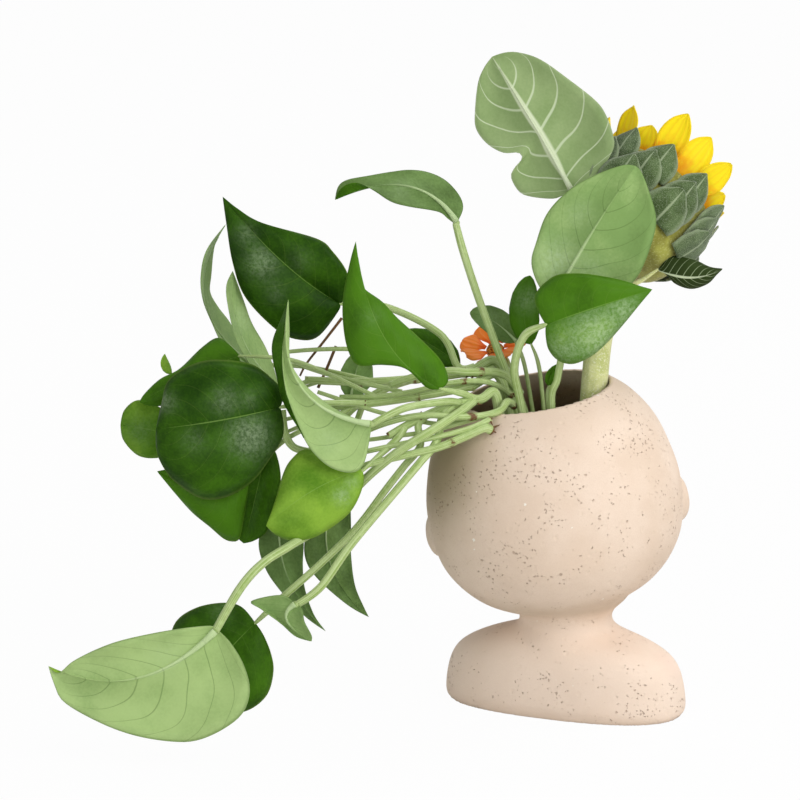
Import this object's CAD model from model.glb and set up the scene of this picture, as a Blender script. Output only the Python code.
import math
import random

import bmesh
import bpy
import numpy as np
from mathutils import Matrix, Vector, kdtree, noise


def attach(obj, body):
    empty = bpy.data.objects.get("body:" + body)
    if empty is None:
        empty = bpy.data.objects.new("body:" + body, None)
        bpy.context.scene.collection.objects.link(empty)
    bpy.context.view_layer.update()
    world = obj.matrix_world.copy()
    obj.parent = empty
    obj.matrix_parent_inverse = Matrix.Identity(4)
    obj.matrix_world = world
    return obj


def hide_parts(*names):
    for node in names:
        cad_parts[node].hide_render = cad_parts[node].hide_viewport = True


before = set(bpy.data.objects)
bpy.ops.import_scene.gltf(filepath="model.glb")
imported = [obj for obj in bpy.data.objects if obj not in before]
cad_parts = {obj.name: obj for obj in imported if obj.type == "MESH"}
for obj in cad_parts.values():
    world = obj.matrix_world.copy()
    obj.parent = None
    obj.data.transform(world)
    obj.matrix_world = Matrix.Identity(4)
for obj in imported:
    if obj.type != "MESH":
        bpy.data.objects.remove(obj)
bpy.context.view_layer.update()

bl_info = {
    "name": "Head planter",
    "version": (1, 0, 0),
    "blender": (4, 5, 0),
    "location": "3D View > Sidebar > Planter",
    "description": "A cast bust planter with trailing leaves, a sunflower and an orange flower",
    "category": "Add Mesh",
}

MM = 0.001
UP = Vector((0, 0, 1))


def linear(code):
    """Linear colour of an sRGB hex code."""
    values = [int(code[index:index + 2], 16) / 255 for index in (1, 3, 5)]
    return [v / 12.92 if v <= 0.04045 else ((v + 0.055) / 1.055) ** 2.4 for v in values]


def opaque(colour):
    """The colour with full cover."""
    return (colour[0], colour[1], colour[2], 1.0)


# The head stands over the neck, carried sideways by its lean. The face looks towards -Y.
HEAD = 70.4 * MM
NECK_RISE = 51.0 * MM
NECK_RADIUS = 24.7 * MM
HEAD_TURN = math.radians(25.0)
HEAD_LEAN = math.radians(9.0)
HEAD_CENTRE = Vector((math.cos(HEAD_TURN), math.sin(HEAD_TURN), 0)) * (HEAD * 0.095)
HEAD_CENTRE += UP * (NECK_RISE + HEAD * 0.96)
HEAD_PLACE = (Matrix.Translation(HEAD_CENTRE) @ Matrix.Rotation(HEAD_TURN, 4, "Z")
              @ Matrix.Rotation(HEAD_LEAN, 4, "Y"))
MIX_TOP = HEAD_CENTRE.z + 0.27 * HEAD
PLANTING = 12.0 * MM
GAP = 0.3 * MM

# A place in the spray of plants is a pixel and a depth towards the viewer, who stands
# behind the bust and looks slightly down. The depth is a share of the head's radius.
FRAME_PX = 800
HEAD_PX = 128.0
HEAD_CENTRE_PX = (554.0, 497.0)
PX = HEAD / HEAD_PX
VIEW_TURN = math.radians(205.0)
VIEW_TILT = math.radians(15.0)
RIGHT = Vector((math.cos(VIEW_TURN), math.sin(VIEW_TURN), 0))
BACK = Vector((math.sin(VIEW_TURN), -math.cos(VIEW_TURN), 0))
TOWARD = BACK * math.cos(VIEW_TILT) + UP * math.sin(VIEW_TILT)
RISE = TOWARD.cross(RIGHT)


def seen(x_px, y_px, depth):
    """Point seen at a pixel, a share of the head's radius nearer than its centre."""
    across = RIGHT * ((x_px - HEAD_CENTRE_PX[0]) * PX)
    above = RISE * ((HEAD_CENTRE_PX[1] - y_px) * PX)
    return HEAD_CENTRE + across + above + TOWARD * (depth * HEAD)


def curve(points, steps):
    """Smooth line through every given point, with steps parts to each run."""
    points = [np.asarray(point, float) for point in points]
    last = len(points) - 1
    line = []
    for index in range(last):
        before, start = points[max(index - 1, 0)], points[index]
        end, after = points[index + 1], points[min(index + 2, last)]
        for step in range(steps):
            share = step / steps
            line.append(0.5 * (2 * start + (end - before) * share
                               + (2 * before - 5 * start + 4 * end - after) * share ** 2
                               + (3 * start - before - 3 * end + after) * share ** 3))
    line.append(points[-1])
    return np.array(line)


def evenly(line, count):
    """The line's points again, evenly apart."""
    gaps = np.linalg.norm(np.diff(line[:, :2], axis=0), axis=1)
    way = np.concatenate([[0.0], np.cumsum(gaps)])
    places = np.linspace(0.0, way[-1], count)
    return np.stack([np.interp(places, way, line[:, axis]) for axis in range(line.shape[1])], axis=1)


class Skin:
    """Points, faces, finishes and places of a piece while it is made."""

    def __init__(self):
        self.points = []
        self.faces = []
        self.finishes = []
        self.places = []
        self.sheens = []

    def add(self, points, faces, finish, places, sheen=0.0):
        """Adds a part; its finish is one number, or a list with one for each face."""
        first = len(self.points)
        self.points.extend(tuple(point) for point in points)
        self.places.extend(tuple(place) for place in places)
        self.sheens.extend(np.broadcast_to(sheen, len(points)).tolist())
        for number, face in enumerate(faces):
            self.faces.append([first + corner for corner in face])
            self.finishes.append(finish[number] if isinstance(finish, list) else finish)

    def piece(self, name, materials, body, slot, *nodes):
        """Makes the piece, which replaces the nodes and rides on the body."""
        mesh = bpy.data.meshes.new(name)
        mesh.from_pydata(self.points, [], self.faces)
        place = mesh.attributes.new("place", "FLOAT_VECTOR", "POINT")
        place.data.foreach_set("vector", np.array(self.places, np.float32).ravel())
        mesh.attributes.new("sheen", "FLOAT", "POINT").data.foreach_set("value", self.sheens)
        mesh.polygons.foreach_set("material_index", self.finishes)
        for finish in materials:
            mesh.materials.append(finish)
        work = bmesh.new()
        work.from_mesh(mesh)
        bmesh.ops.recalc_face_normals(work, faces=work.faces)
        work.to_mesh(mesh)
        work.free()
        mesh.shade_smooth()
        made = bpy.data.objects.new(name, mesh)
        bpy.context.scene.collection.objects.link(made)
        settle(made, body, slot, *nodes)
        return made


def settle(made, body, slot, *nodes):
    """Says what a piece rides on, what it stands for and which finish it takes."""
    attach(made, body)
    if nodes:
        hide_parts(*nodes)


def tube(skin, line, radii, sides, finish, age=None, ridge=0.0, ridges=1):
    """Round closed stem along a line. Its places are way along, way round and age."""
    line = [Vector(point) for point in line]
    last = len(line) - 1
    side = None
    points, places, faces = [], [], []
    for index, centre in enumerate(line):
        heading = (line[min(index + 1, last)] - line[max(index - 1, 0)]).normalized()
        if side is None:
            side = RIGHT if abs(heading.dot(RIGHT)) < 0.9 else UP
        side = (side - heading * side.dot(heading)).normalized()
        over = heading.cross(side)
        for corner in range(sides):
            angle = 2 * math.pi * corner / sides
            radius = radii[index] * (1 + ridge * math.cos(angle * ridges))
            points.append(centre + side * (radius * math.cos(angle)) + over * (radius * math.sin(angle)))
            places.append((index / last, corner / sides, age[index] if age else 0.0))
    for index in range(last):
        for corner in range(sides):
            near, beside = index * sides + corner, index * sides + (corner + 1) % sides
            faces.append([near, beside, beside + sides, near + sides])
    for end, row in ((0, 0), (last, last * sides)):
        points.append(line[end])
        places.append((end / last, 0.0, age[end] if age else 0.0))
        hub = len(points) - 1
        for corner in range(sides):
            faces.append([row + corner, row + (corner + 1) % sides, hub])
    skin.add(points, faces, finish, places)


def blade(skin, grid, across, thickness, finishes, tone, front=TOWARD, sheen=0.0):
    """Thin closed sheet over a grid of points. Its places are way along, way across from
    the midrib and tone; the side that looks to the front takes the first finish."""
    rows, columns = grid.shape[:2]
    down = np.gradient(grid, axis=0)
    over = np.gradient(grid, axis=1)
    normal = np.cross(down, over)
    normal /= np.maximum(np.linalg.norm(normal, axis=2, keepdims=True), 1e-12)
    if (normal.reshape(-1, 3) @ np.array(front)).sum() < 0:
        normal = -normal
    half = np.broadcast_to(thickness, (rows, columns))[..., None] / 2
    points = np.concatenate([(grid + normal * half).reshape(-1, 3), (grid - normal * half).reshape(-1, 3)])
    way = np.broadcast_to(np.linspace(0, 1, rows)[:, None], (rows, columns)).ravel()
    beside = np.broadcast_to(across, (rows, columns)).ravel()
    place = np.stack([way, beside, np.broadcast_to(tone, (rows, columns)).ravel()], axis=1)
    glow = np.tile(np.broadcast_to(sheen, (rows, columns)).ravel(), 2)
    faces, finish = [], []
    back = rows * columns
    for row in range(rows - 1):
        for column in range(columns - 1):
            corner = row * columns + column
            square = [corner, corner + 1, corner + columns + 1, corner + columns]
            faces.append(square)
            faces.append([back + point for point in reversed(square)])
            finish.extend(finishes)
    rim = [row * columns for row in range(rows)]
    rim += [(rows - 1) * columns + column for column in range(1, columns)]
    rim += [row * columns + columns - 1 for row in range(rows - 2, -1, -1)]
    rim += [column for column in range(columns - 2, 0, -1)]
    for start, end in zip(rim, rim[1:] + rim[:1]):
        faces.append([start, end, back + end, back + start])
        finish.append(finishes[0])
    skin.add(points, faces, finish, np.concatenate([place, place]), glow)


def turned(skin, outline, sides, matrix):
    """Closed form turned about Z from (radius, height) points that start and end on it."""
    points = [matrix @ Vector((0, 0, outline[0][1]))]
    places = [(0.0, 0.0, 0.0)]
    rings = outline[1:-1]
    for number, (radius, height) in enumerate(rings, start=1):
        for corner in range(sides):
            angle = 2 * math.pi * corner / sides
            points.append(matrix @ Vector((radius * math.cos(angle), radius * math.sin(angle), height)))
            places.append((number / len(outline), corner / sides, 0.0))
    points.append(matrix @ Vector((0, 0, outline[-1][1])))
    places.append((1.0, 0.0, 0.0))
    faces = []
    for corner in range(sides):
        beside = (corner + 1) % sides
        faces.append([0, 1 + beside, 1 + corner])
        for ring in range(len(rings) - 1):
            low, high = 1 + ring * sides, 1 + (ring + 1) * sides
            faces.append([low + corner, low + beside, high + beside, high + corner])
        top = 1 + (len(rings) - 1) * sides
        faces.append([top + corner, top + beside, len(points) - 1])
    skin.add(points, faces, 0, places)


# Materials.

def node(tree, kind, inputs=None, **settings):
    """Adds a node with its settings, and sets or links its inputs."""
    added = tree.nodes.new(kind)
    for setting, value in settings.items():
        setattr(added, setting, value)
    for socket, value in (inputs or {}).items():
        if isinstance(value, bpy.types.NodeSocket):
            tree.links.new(value, added.inputs[socket])
        else:
            added.inputs[socket].default_value = value
    return added


MATH, MIX, NOISE, CELLS = "ShaderNodeMath", "ShaderNodeMix", "ShaderNodeTexNoise", "ShaderNodeTexVoronoi"
RANGE, BUMP, SPOT = "ShaderNodeMapRange", "ShaderNodeBump", "ShaderNodeTexCoord"
SPLIT, ATTRIBUTE = "ShaderNodeSeparateXYZ", "ShaderNodeAttribute"


def new_material(name, roughness, ior=1.45):
    """Material with its node tree and its shader."""
    made = bpy.data.materials.new(name)
    made.use_nodes = True
    shader = made.node_tree.nodes["Principled BSDF"]
    shader.inputs["Roughness"].default_value = roughness
    shader.inputs["IOR"].default_value = ior
    return made, made.node_tree, shader


def mixed(tree, share, first, second):
    """Colour a share of the way from the first to the second."""
    return node(tree, MIX, {0: share, 6: first, 7: second}, data_type="RGBA").outputs[2]


def between(tree, value, low, high, start=0.0, end=1.0):
    """The value's way from low to high, eased, as a number from start to end."""
    limits = {"From Min": low, "From Max": high, "To Min": start, "To Max": end}
    return node(tree, RANGE, {"Value": value, **limits}, interpolation_type="SMOOTHSTEP").outputs[0]


def reckon(tree, operation, first, second=0.0):
    """Result of one sum."""
    return node(tree, MATH, {0: first, 1: second}, operation=operation).outputs[0]


def place_parts(tree):
    """Splits a point's place, which its mesh carries, into three numbers."""
    return node(tree, SPLIT, {0: node(tree, ATTRIBUTE, attribute_name="place").outputs["Vector"]})


def object_spot(tree):
    """Where a point of the surface lies in its object."""
    return node(tree, SPOT).outputs["Object"]


def noise_at(tree, spot, scale, detail, roughness=0.5):
    """Cloudy noise at a spot."""
    form = {"Scale": scale, "Detail": detail, "Roughness": roughness}
    return node(tree, NOISE, {"Vector": spot, **form}).outputs[0]


def relief(tree, shader, height, strength, distance):
    """Fine relief of a finish."""
    bump = node(tree, BUMP, {"Strength": strength, "Distance": distance, "Height": height})
    tree.links.new(bump.outputs[0], shader.inputs["Normal"])


def veins(tree, along, across, spot, count, sweep, width):
    """Mask of the side veins, which leave the midrib and bend towards the tip."""
    beside = reckon(tree, "ABSOLUTE", across)
    bent = reckon(tree, "MULTIPLY", beside, reckon(tree, "ADD", reckon(tree, "MULTIPLY", beside, 0.4), 0.6))
    uneven = noise_at(tree, spot, 28.0, 1.0)
    way = reckon(tree, "SUBTRACT", along, reckon(tree, "MULTIPLY", bent, sweep))
    phase = reckon(tree, "ADD", reckon(tree, "MULTIPLY", way, count), reckon(tree, "MULTIPLY", uneven, 0.9))
    wave = reckon(tree, "PINGPONG", phase, 0.5)
    half = between(tree, beside, 0.1, 1.0, width, width * 0.45)
    line = between(tree, reckon(tree, "DIVIDE", wave, half), 1.5, 0.5)
    return reckon(tree, "MULTIPLY", line, between(tree, along, 0.98, 0.80))


def leaf_finish(name, greens, vein, rib, gloss, roughness, vein_form, vein_share, rib_form, rim_share,
                level=0.2):
    """Leaf tissue from dark to light green over a blade's tone, with side veins, a midrib
    that fades towards the tip, a rim, and soft sheen where the blade's sheen says."""
    made, tree, shader = new_material(name, roughness)
    place = place_parts(tree)
    sheen = node(tree, ATTRIBUTE, attribute_name="sheen").outputs["Fac"]
    along, across, tone = place.outputs[0], place.outputs[1], place.outputs[2]
    beside = reckon(tree, "ABSOLUTE", across)
    spot = object_spot(tree)
    cloud = noise_at(tree, spot, 60.0, 2.0)
    cells = noise_at(tree, spot, 700.0, 3.0)
    shade = reckon(tree, "ADD", tone, between(tree, cloud, 0.3, 0.7, -0.07, 0.07))
    shade = reckon(tree, "ADD", shade, between(tree, cells, 0.3, 0.7, -0.03, 0.03))
    green = mixed(tree, between(tree, shade, 0.0, 0.5), opaque(greens[0]), opaque(greens[1]))
    green = mixed(tree, between(tree, shade, 0.5, 1.0), green, opaque(greens[2]))
    rim = between(tree, beside, 0.955, 0.995, 0.0, rim_share)
    green = mixed(tree, rim, green, opaque(vein))
    side = veins(tree, along, across, spot, *vein_form)
    green = mixed(tree, reckon(tree, "MULTIPLY", side, vein_share), green, opaque(vein))
    waves = noise_at(tree, spot, 520.0, 4.0, 0.7)
    glint = reckon(tree, "MULTIPLY", sheen, between(tree, waves, 0.35, 0.65, 0.35, 1.2))
    green = mixed(tree, glint, green, opaque(gloss))
    width, fade, share = rib_form
    broad = reckon(tree, "MULTIPLY", between(tree, along, 0.0, fade, 1.0, 0.25), width)
    middle = between(tree, reckon(tree, "DIVIDE", beside, broad), 1.3, 0.6)
    middle = reckon(tree, "MULTIPLY", middle, between(tree, along, fade * 0.3, fade, share, 0.0))
    tree.links.new(mixed(tree, middle, green, opaque(rib)), shader.inputs["Base Color"])
    height = reckon(tree, "MULTIPLY", cells, 0.12)
    height = reckon(tree, "SUBTRACT", height, reckon(tree, "MULTIPLY", side, 0.5))
    relief(tree, shader, height, 0.4, 0.0005)
    shader.inputs["Specular IOR Level"].default_value = level
    return made


def stem_finish(name, fresh, pale, old, roughness, streak_mm):
    """Fresh stem tissue: streaks run along it, and it browns with age."""
    made, tree, shader = new_material(name, roughness)
    shader.inputs["Specular IOR Level"].default_value = 0.3
    parts = place_parts(tree)
    round_it = node(tree, "ShaderNodeCombineXYZ",
                    {0: parts.outputs[0], 1: reckon(tree, "MULTIPLY", parts.outputs[1], 9.0)})
    streaks = noise_at(tree, round_it.outputs[0], 3.0, 4.0)
    spot = object_spot(tree)
    blotch = noise_at(tree, spot, 1.0 / (streak_mm * MM), 5.0)
    green = mixed(tree, between(tree, streaks, 0.35, 0.62), opaque(fresh), opaque(pale))
    green = mixed(tree, between(tree, blotch, 0.42, 0.75, 0.0, 0.5), green, opaque(pale))
    aged = reckon(tree, "ADD", parts.outputs[2], between(tree, blotch, 0.3, 0.7, -0.3, 0.3))
    aged = between(tree, aged, 0.3, 0.8)
    tree.links.new(mixed(tree, aged, green, opaque(old)), shader.inputs["Base Color"])
    relief(tree, shader, reckon(tree, "ADD", streaks, reckon(tree, "MULTIPLY", blotch, 0.5)), 0.4, 0.0005)
    return made


def downy_finish(name, base, dark, hair, hair_mm, hair_share, roughness=0.85):
    """Green tissue under short white hairs, which are drawn as fine pale flecks."""
    made, tree, shader = new_material(name, roughness)
    parts = place_parts(tree)
    spot = object_spot(tree)
    cloud = noise_at(tree, spot, 120.0, 3.0)
    flecks = noise_at(tree, spot, 1.0 / (hair_mm * MM), 2.0, 0.7)
    green = mixed(tree, between(tree, cloud, 0.35, 0.65), opaque(base), opaque(dark))
    rim = between(tree, reckon(tree, "ABSOLUTE", parts.outputs[1]), 0.7, 1.0, 0.0, 0.32)
    green = mixed(tree, rim, green, opaque(hair))
    middle = between(tree, reckon(tree, "ABSOLUTE", parts.outputs[1]), 0.08, 0.02, 0.0, 0.5)
    green = mixed(tree, reckon(tree, "MULTIPLY", middle, parts.outputs[2]), green, opaque(hair))
    fleck = between(tree, flecks, 0.52, 0.68, 0.0, hair_share)
    tree.links.new(mixed(tree, fleck, green, opaque(hair)), shader.inputs["Base Color"])
    relief(tree, shader, flecks, 0.6, 0.0006)
    shader.inputs["Sheen Weight"].default_value = 0.25
    shader.inputs["Sheen Roughness"].default_value = 0.5
    shader.inputs["Specular IOR Level"].default_value = 0.2
    return made


def petal_finish(name, tip, base, streak, roughness):
    """Petal tissue: ridges run its length and the colour deepens to the foot."""
    made, tree, shader = new_material(name, roughness)
    parts = place_parts(tree)
    ridge = reckon(tree, "COSINE", reckon(tree, "MULTIPLY", parts.outputs[1], 14.0))
    lines = between(tree, ridge, 0.4, 1.0, 0.0, 0.30)
    spot = object_spot(tree)
    cloud = noise_at(tree, spot, 160.0, 3.0)
    depth = reckon(tree, "ADD", parts.outputs[0], between(tree, cloud, 0.3, 0.7, -0.15, 0.15))
    colour = mixed(tree, between(tree, depth, 0.0, 0.5), opaque(base), opaque(tip))
    colour = mixed(tree, lines, colour, opaque(streak))
    tree.links.new(colour, shader.inputs["Base Color"])
    relief(tree, shader, ridge, 0.35, 0.0004)
    shader.inputs["Sheen Weight"].default_value = 0.1
    shader.inputs["Specular IOR Level"].default_value = 0.2
    through = node(tree, "ShaderNodeBsdfTranslucent", {"Color": colour})
    both = node(tree, "ShaderNodeMixShader", {0: 0.4, 1: shader.outputs[0], 2: through.outputs[0]})
    tree.links.new(both.outputs[0], tree.nodes["Material Output"].inputs["Surface"])
    return made


# How far the cast body's pits are pulled out of round, and the way between white chips.
PIT_DRIFT = (2.6 * MM, 2.6 * MM, 1.8 * MM)
CHIP_SPACING = 9.0 * MM


def cast_finish(settings):
    """Cast stoneware, sponged and left matt: dense small pits, a few white chips, and a
    faint cloudiness, so that it looks dry and takes no highlight."""
    made, tree, shader = new_material("cast_stoneware_matt", 0.9, 1.5)
    spot = object_spot(tree)
    parts = place_parts(tree)
    inside, blush, stain = parts.outputs[0], parts.outputs[1], parts.outputs[2]
    cloud = noise_at(tree, spot, 35.0, 4.0)
    grain = noise_at(tree, spot, 1400.0, 3.0)
    crowd = noise_at(tree, spot, 55.0, 4.0, 0.65)
    drift = node(tree, NOISE, {"Vector": spot, "Scale": 700.0, "Detail": 2.0}).outputs[1]
    drift = node(tree, "ShaderNodeVectorMath", {0: drift, 1: PIT_DRIFT}, operation="MULTIPLY").outputs[0]
    warped = node(tree, "ShaderNodeVectorMath", {0: spot, 1: drift}, operation="ADD").outputs[0]
    pits = node(tree, CELLS, {"Vector": warped, "Scale": 1.0 / settings.pit_spacing})
    size = node(tree, SPLIT, {0: pits.outputs["Color"]}).outputs[0]
    reach = reckon(tree, "MULTIPLY", between(tree, size, 0.30, 1.0, 0.05, 0.44),
                   between(tree, crowd, 0.38, 0.60, 0.15, 1.0))
    pit = between(tree, reckon(tree, "SUBTRACT", reach, pits.outputs["Distance"]), 0.0, 0.22)
    chips = node(tree, CELLS, {"Vector": warped, "Scale": 1.0 / CHIP_SPACING})
    chip_size = node(tree, SPLIT, {0: chips.outputs["Color"]}).outputs[1]
    chip_reach = between(tree, chip_size, 0.7, 1.0, 0.0, 0.11)
    chip = between(tree, reckon(tree, "SUBTRACT", chip_reach, chips.outputs["Distance"]), 0.0, 0.03)
    clay = mixed(tree, between(tree, cloud, 0.3, 0.7), opaque(settings.clay), opaque(settings.clay_pale))
    clay = mixed(tree, between(tree, grain, 0.35, 0.75, 0.0, 0.25), clay, opaque(linear("#d9bfa8")))
    clay = mixed(tree, reckon(tree, "MULTIPLY", blush, 0.35), clay, opaque(linear("#eec3b4")))
    clay = mixed(tree, between(tree, stain, 0.0, 1.0, 0.0, 0.8), clay, opaque(linear("#8d7c58")))
    clay = mixed(tree, between(tree, stain, 0.0, -1.0, 0.0, 0.42), clay, opaque(linear("#f9e4d2")))
    clay = mixed(tree, reckon(tree, "MULTIPLY", pit, 0.35), clay, opaque(settings.pit_colour))
    clay = mixed(tree, reckon(tree, "MULTIPLY", chip, 0.8), clay, opaque(linear("#fdf6ec")))
    soiled = reckon(tree, "ADD", inside, between(tree, cloud, 0.3, 0.7, -0.1, 0.1))
    clay = mixed(tree, between(tree, soiled, 0.0, 0.40, 0.0, 0.75), clay, opaque(linear("#b08c66")))
    clay = mixed(tree, between(tree, soiled, 0.40, 1.0, 0.0, 0.85), clay, opaque(linear("#4e331a")))
    tree.links.new(clay, shader.inputs["Base Color"])
    height = reckon(tree, "SUBTRACT", reckon(tree, "MULTIPLY", grain, 0.05), pit)
    relief(tree, shader, height, 1.0, 0.0008)
    return made


def grainy_finish(name, dark, light, grain_mm, roughness, ior=1.45):
    """Crumbly or moulded matter with a grain of one size."""
    made, tree, shader = new_material(name, roughness, ior)
    spot = object_spot(tree)
    grain = noise_at(tree, spot, 1.0 / (grain_mm * MM), 5.0)
    colour = mixed(tree, between(tree, grain, 0.38, 0.62), opaque(dark), opaque(light))
    tree.links.new(colour, shader.inputs["Base Color"])
    relief(tree, shader, grain, 0.6, grain_mm * MM * 0.3)
    return made


# The pot.
HEAD_SHARES = [
    (0.36, -0.88), (0.52, -0.81), (0.70, -0.71), (0.86, -0.54), (0.965, -0.32),
    (1.00, 0.02), (0.955, 0.30), (0.876, 0.53), (0.745, 0.73), (0.60, 0.86),
]
BUST_SHARES = [
    (0.00, 0.955, 0.91), (0.05, 0.992, 0.96), (0.14, 1.000, 1.00), (0.32, 0.985, 0.99), (0.50, 0.945, 0.96),
    (0.64, 0.870, 0.91), (0.765, 0.680, 0.81), (0.85, 0.480, 0.70), (0.92, 0.370, 0.62),
]
BUST_SQUARENESS = 2.4
NECK_SHARES = [
    (1.19, -0.46), (1.12, -0.30), (1.04, -0.14), (1.00, 0.02), (1.05, 0.16), (1.20, 0.32), (1.46, 0.52),
]
BUST_LENGTH = 139.0 * MM
BUST_DEPTH = 69.0 * MM
WALL = 4.5 * MM
RIM_WALL = 2.4 * MM
FLOOR_SHARE = -0.84
FLOOR_RADIUS_SHARE = 0.22
EAR = 26.0 * MM
# Swellings of the face: place across and up, radii across, out and up, lift, side turn.
FACE = [
    ((0.0, -0.12), (0.085, 0.10, 0.22), 0.0, 0), ((0.0, -0.27), (0.105, 0.12, 0.10), 0.07, 0),
    ((0.0, -0.475), (0.19, 0.075, 0.045), 0.01, 0), ((0.0, -0.555), (0.155, 0.085, 0.055), 0.01, 0),
    ((0.0, -0.76), (0.20, 0.13, 0.10), 0.0, 0),
    ((0.095, -0.285), (0.06, 0.085, 0.06), 0.02, 0), ((-0.095, -0.285), (0.06, 0.085, 0.06), 0.02, 0),
    ((0.33, 0.02), (0.17, 0.065, 0.085), 0.0, 20), ((-0.33, 0.02), (0.17, 0.065, 0.085), 0.0, -20),
    ((0.34, 0.21), (0.21, 0.045, 0.04), 0.0, 20), ((-0.34, 0.21), (0.21, 0.045, 0.04), 0.0, -20),
]
DRAIN_RADIUS = 5.0 * MM
SEAT_RADIUS = 11.3 * MM
SEAT_DEPTH = 5.0 * MM
VOXEL = 0.8 * MM
# Middle and radii of an ear, and of the hollow in it, with how deep that is.
EAR_PLACE = (0.945, -0.10, -0.18)
EAR_RADII = (0.26, 0.36, 0.5)
EAR_HOLLOW_PLACE = (1.01, -0.14, -0.18)
EAR_HOLLOW_RADII = (0.20, 0.17, 0.30)
EAR_HOLLOW_DEPTH = 3.0 * MM
# Soft lines of the closed eyes and of the mouth: place across, height, half width, sag.
CREASES = [(0.33, -0.005, 0.15, 0.035), (-0.33, -0.005, 0.15, 0.035), (0.0, -0.515, 0.17, -0.012)]
CREASE_WIDTH = 1.6 * MM
CREASE_DEPTH = 0.9 * MM
# Heights between which the seams of bust, neck and head are blended, with soft ends.
SEAM_LOW = (23 * MM, 34 * MM)
SEAM_HIGH = (82 * MM, 66 * MM)


def inner_outline():
    """Cavity from the middle of its floor up to the rim, as (radius, height)."""
    outline = [(0.0, HEAD * FLOOR_SHARE + WALL), (FLOOR_RADIUS_SHARE * HEAD, HEAD * FLOOR_SHARE + WALL)]
    for radius, height in HEAD_SHARES[1:-1]:
        inset = 1.0 - WALL / (math.hypot(radius, height) * HEAD)
        outline.append((radius * HEAD * inset, height * HEAD * inset))
    outline.append((HEAD_SHARES[-1][0] * HEAD - RIM_WALL, HEAD_SHARES[-1][1] * HEAD))
    return outline


def cup_outline():
    """Closed outline of the head: up its outside, and down its cavity."""
    outer = curve([(radius * HEAD, height * HEAD) for radius, height in HEAD_SHARES], 6)
    inner = curve(inner_outline()[1:], 4)[::-1]
    middle = HEAD_SHARES[0][1] * HEAD
    return [(0.0, middle)] + [tuple(point) for point in outer] + [tuple(point) for point in inner] + \
        [(0.0, inner_outline()[0][1])]


def face_depth(across, height):
    """Depth of the head's surface on its face side, in the head's own frame."""
    below = [pair for pair in HEAD_SHARES if pair[1] <= height][-1]
    above = [pair for pair in HEAD_SHARES if pair[1] > height][0]
    way = (height - below[1]) / (above[1] - below[1])
    radius = below[0] + (above[0] - below[0]) * way
    return -math.sqrt(radius ** 2 - across ** 2) * HEAD


def swelling(work, radii, matrix):
    """Adds a ball, stretched and placed."""
    bmesh.ops.create_uvsphere(work, u_segments=32, v_segments=20, radius=1.0,
                              matrix=matrix @ Matrix.Diagonal((radii[0], radii[1], radii[2], 1.0)))


def shell_object(name, fill):
    """Object for a form while it is made, filled by a function of a bmesh."""
    mesh = bpy.data.meshes.new(name)
    work = bmesh.new()
    fill(work)
    bmesh.ops.recalc_face_normals(work, faces=work.faces)
    work.to_mesh(mesh)
    work.free()
    made = bpy.data.objects.new(name, mesh)
    bpy.context.scene.collection.objects.link(made)
    return made


def drill(made, radius, low, high):
    """Takes an upright round bore out of a form."""
    def fill(work):
        bmesh.ops.create_cone(work, cap_ends=True, segments=64, radius1=radius, radius2=radius,
                              depth=high - low, matrix=Matrix.Translation((0, 0, (low + high) / 2)))
    bore = shell_object("bore", fill)
    step = made.modifiers.new("bore", "BOOLEAN")
    step.operation = "DIFFERENCE"
    step.object = bore
    step.solver = "EXACT"
    freeze(made)
    bpy.data.objects.remove(bore)


def freeze(made):
    """Replaces the form's mesh by what its modifiers make of it."""
    bpy.context.view_layer.update()
    result = bpy.data.meshes.new_from_object(made.evaluated_get(bpy.context.evaluated_depsgraph_get()))
    made.modifiers.clear()
    made.data = result


def from_skin(work, skin):
    """Adds a skin's points and faces to a bmesh."""
    corners = [work.verts.new(point) for point in skin.points]
    for face in skin.faces:
        work.faces.new([corners[corner] for corner in face])


def squared(share):
    """Share along an axis of a plain oval, moved out to that of a squared one."""
    return math.copysign(abs(share) ** (2 / BUST_SQUARENESS), share)


def bust_rings():
    """Bust as rings, squared ovals that close in towards the neck."""
    rings = curve(BUST_SHARES, 4)
    points, faces, sides = [], [], 96
    for height, length, depth in rings:
        for corner in range(sides):
            angle = 2 * math.pi * corner / sides
            points.append((length * BUST_LENGTH / 2 * squared(math.cos(angle)),
                           depth * BUST_DEPTH / 2 * squared(math.sin(angle)), height * NECK_RISE))
    for ring in range(len(rings) - 1):
        for corner in range(sides):
            near, beside = ring * sides + corner, ring * sides + (corner + 1) % sides
            faces.append([near, beside, beside + sides, near + sides])
    faces.append(list(range(sides)))
    faces.append([(len(rings) - 1) * sides + corner for corner in range(sides)])
    skin = Skin()
    skin.add(points, faces, 0, [(0, 0, 0)] * len(points))
    return skin


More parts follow.
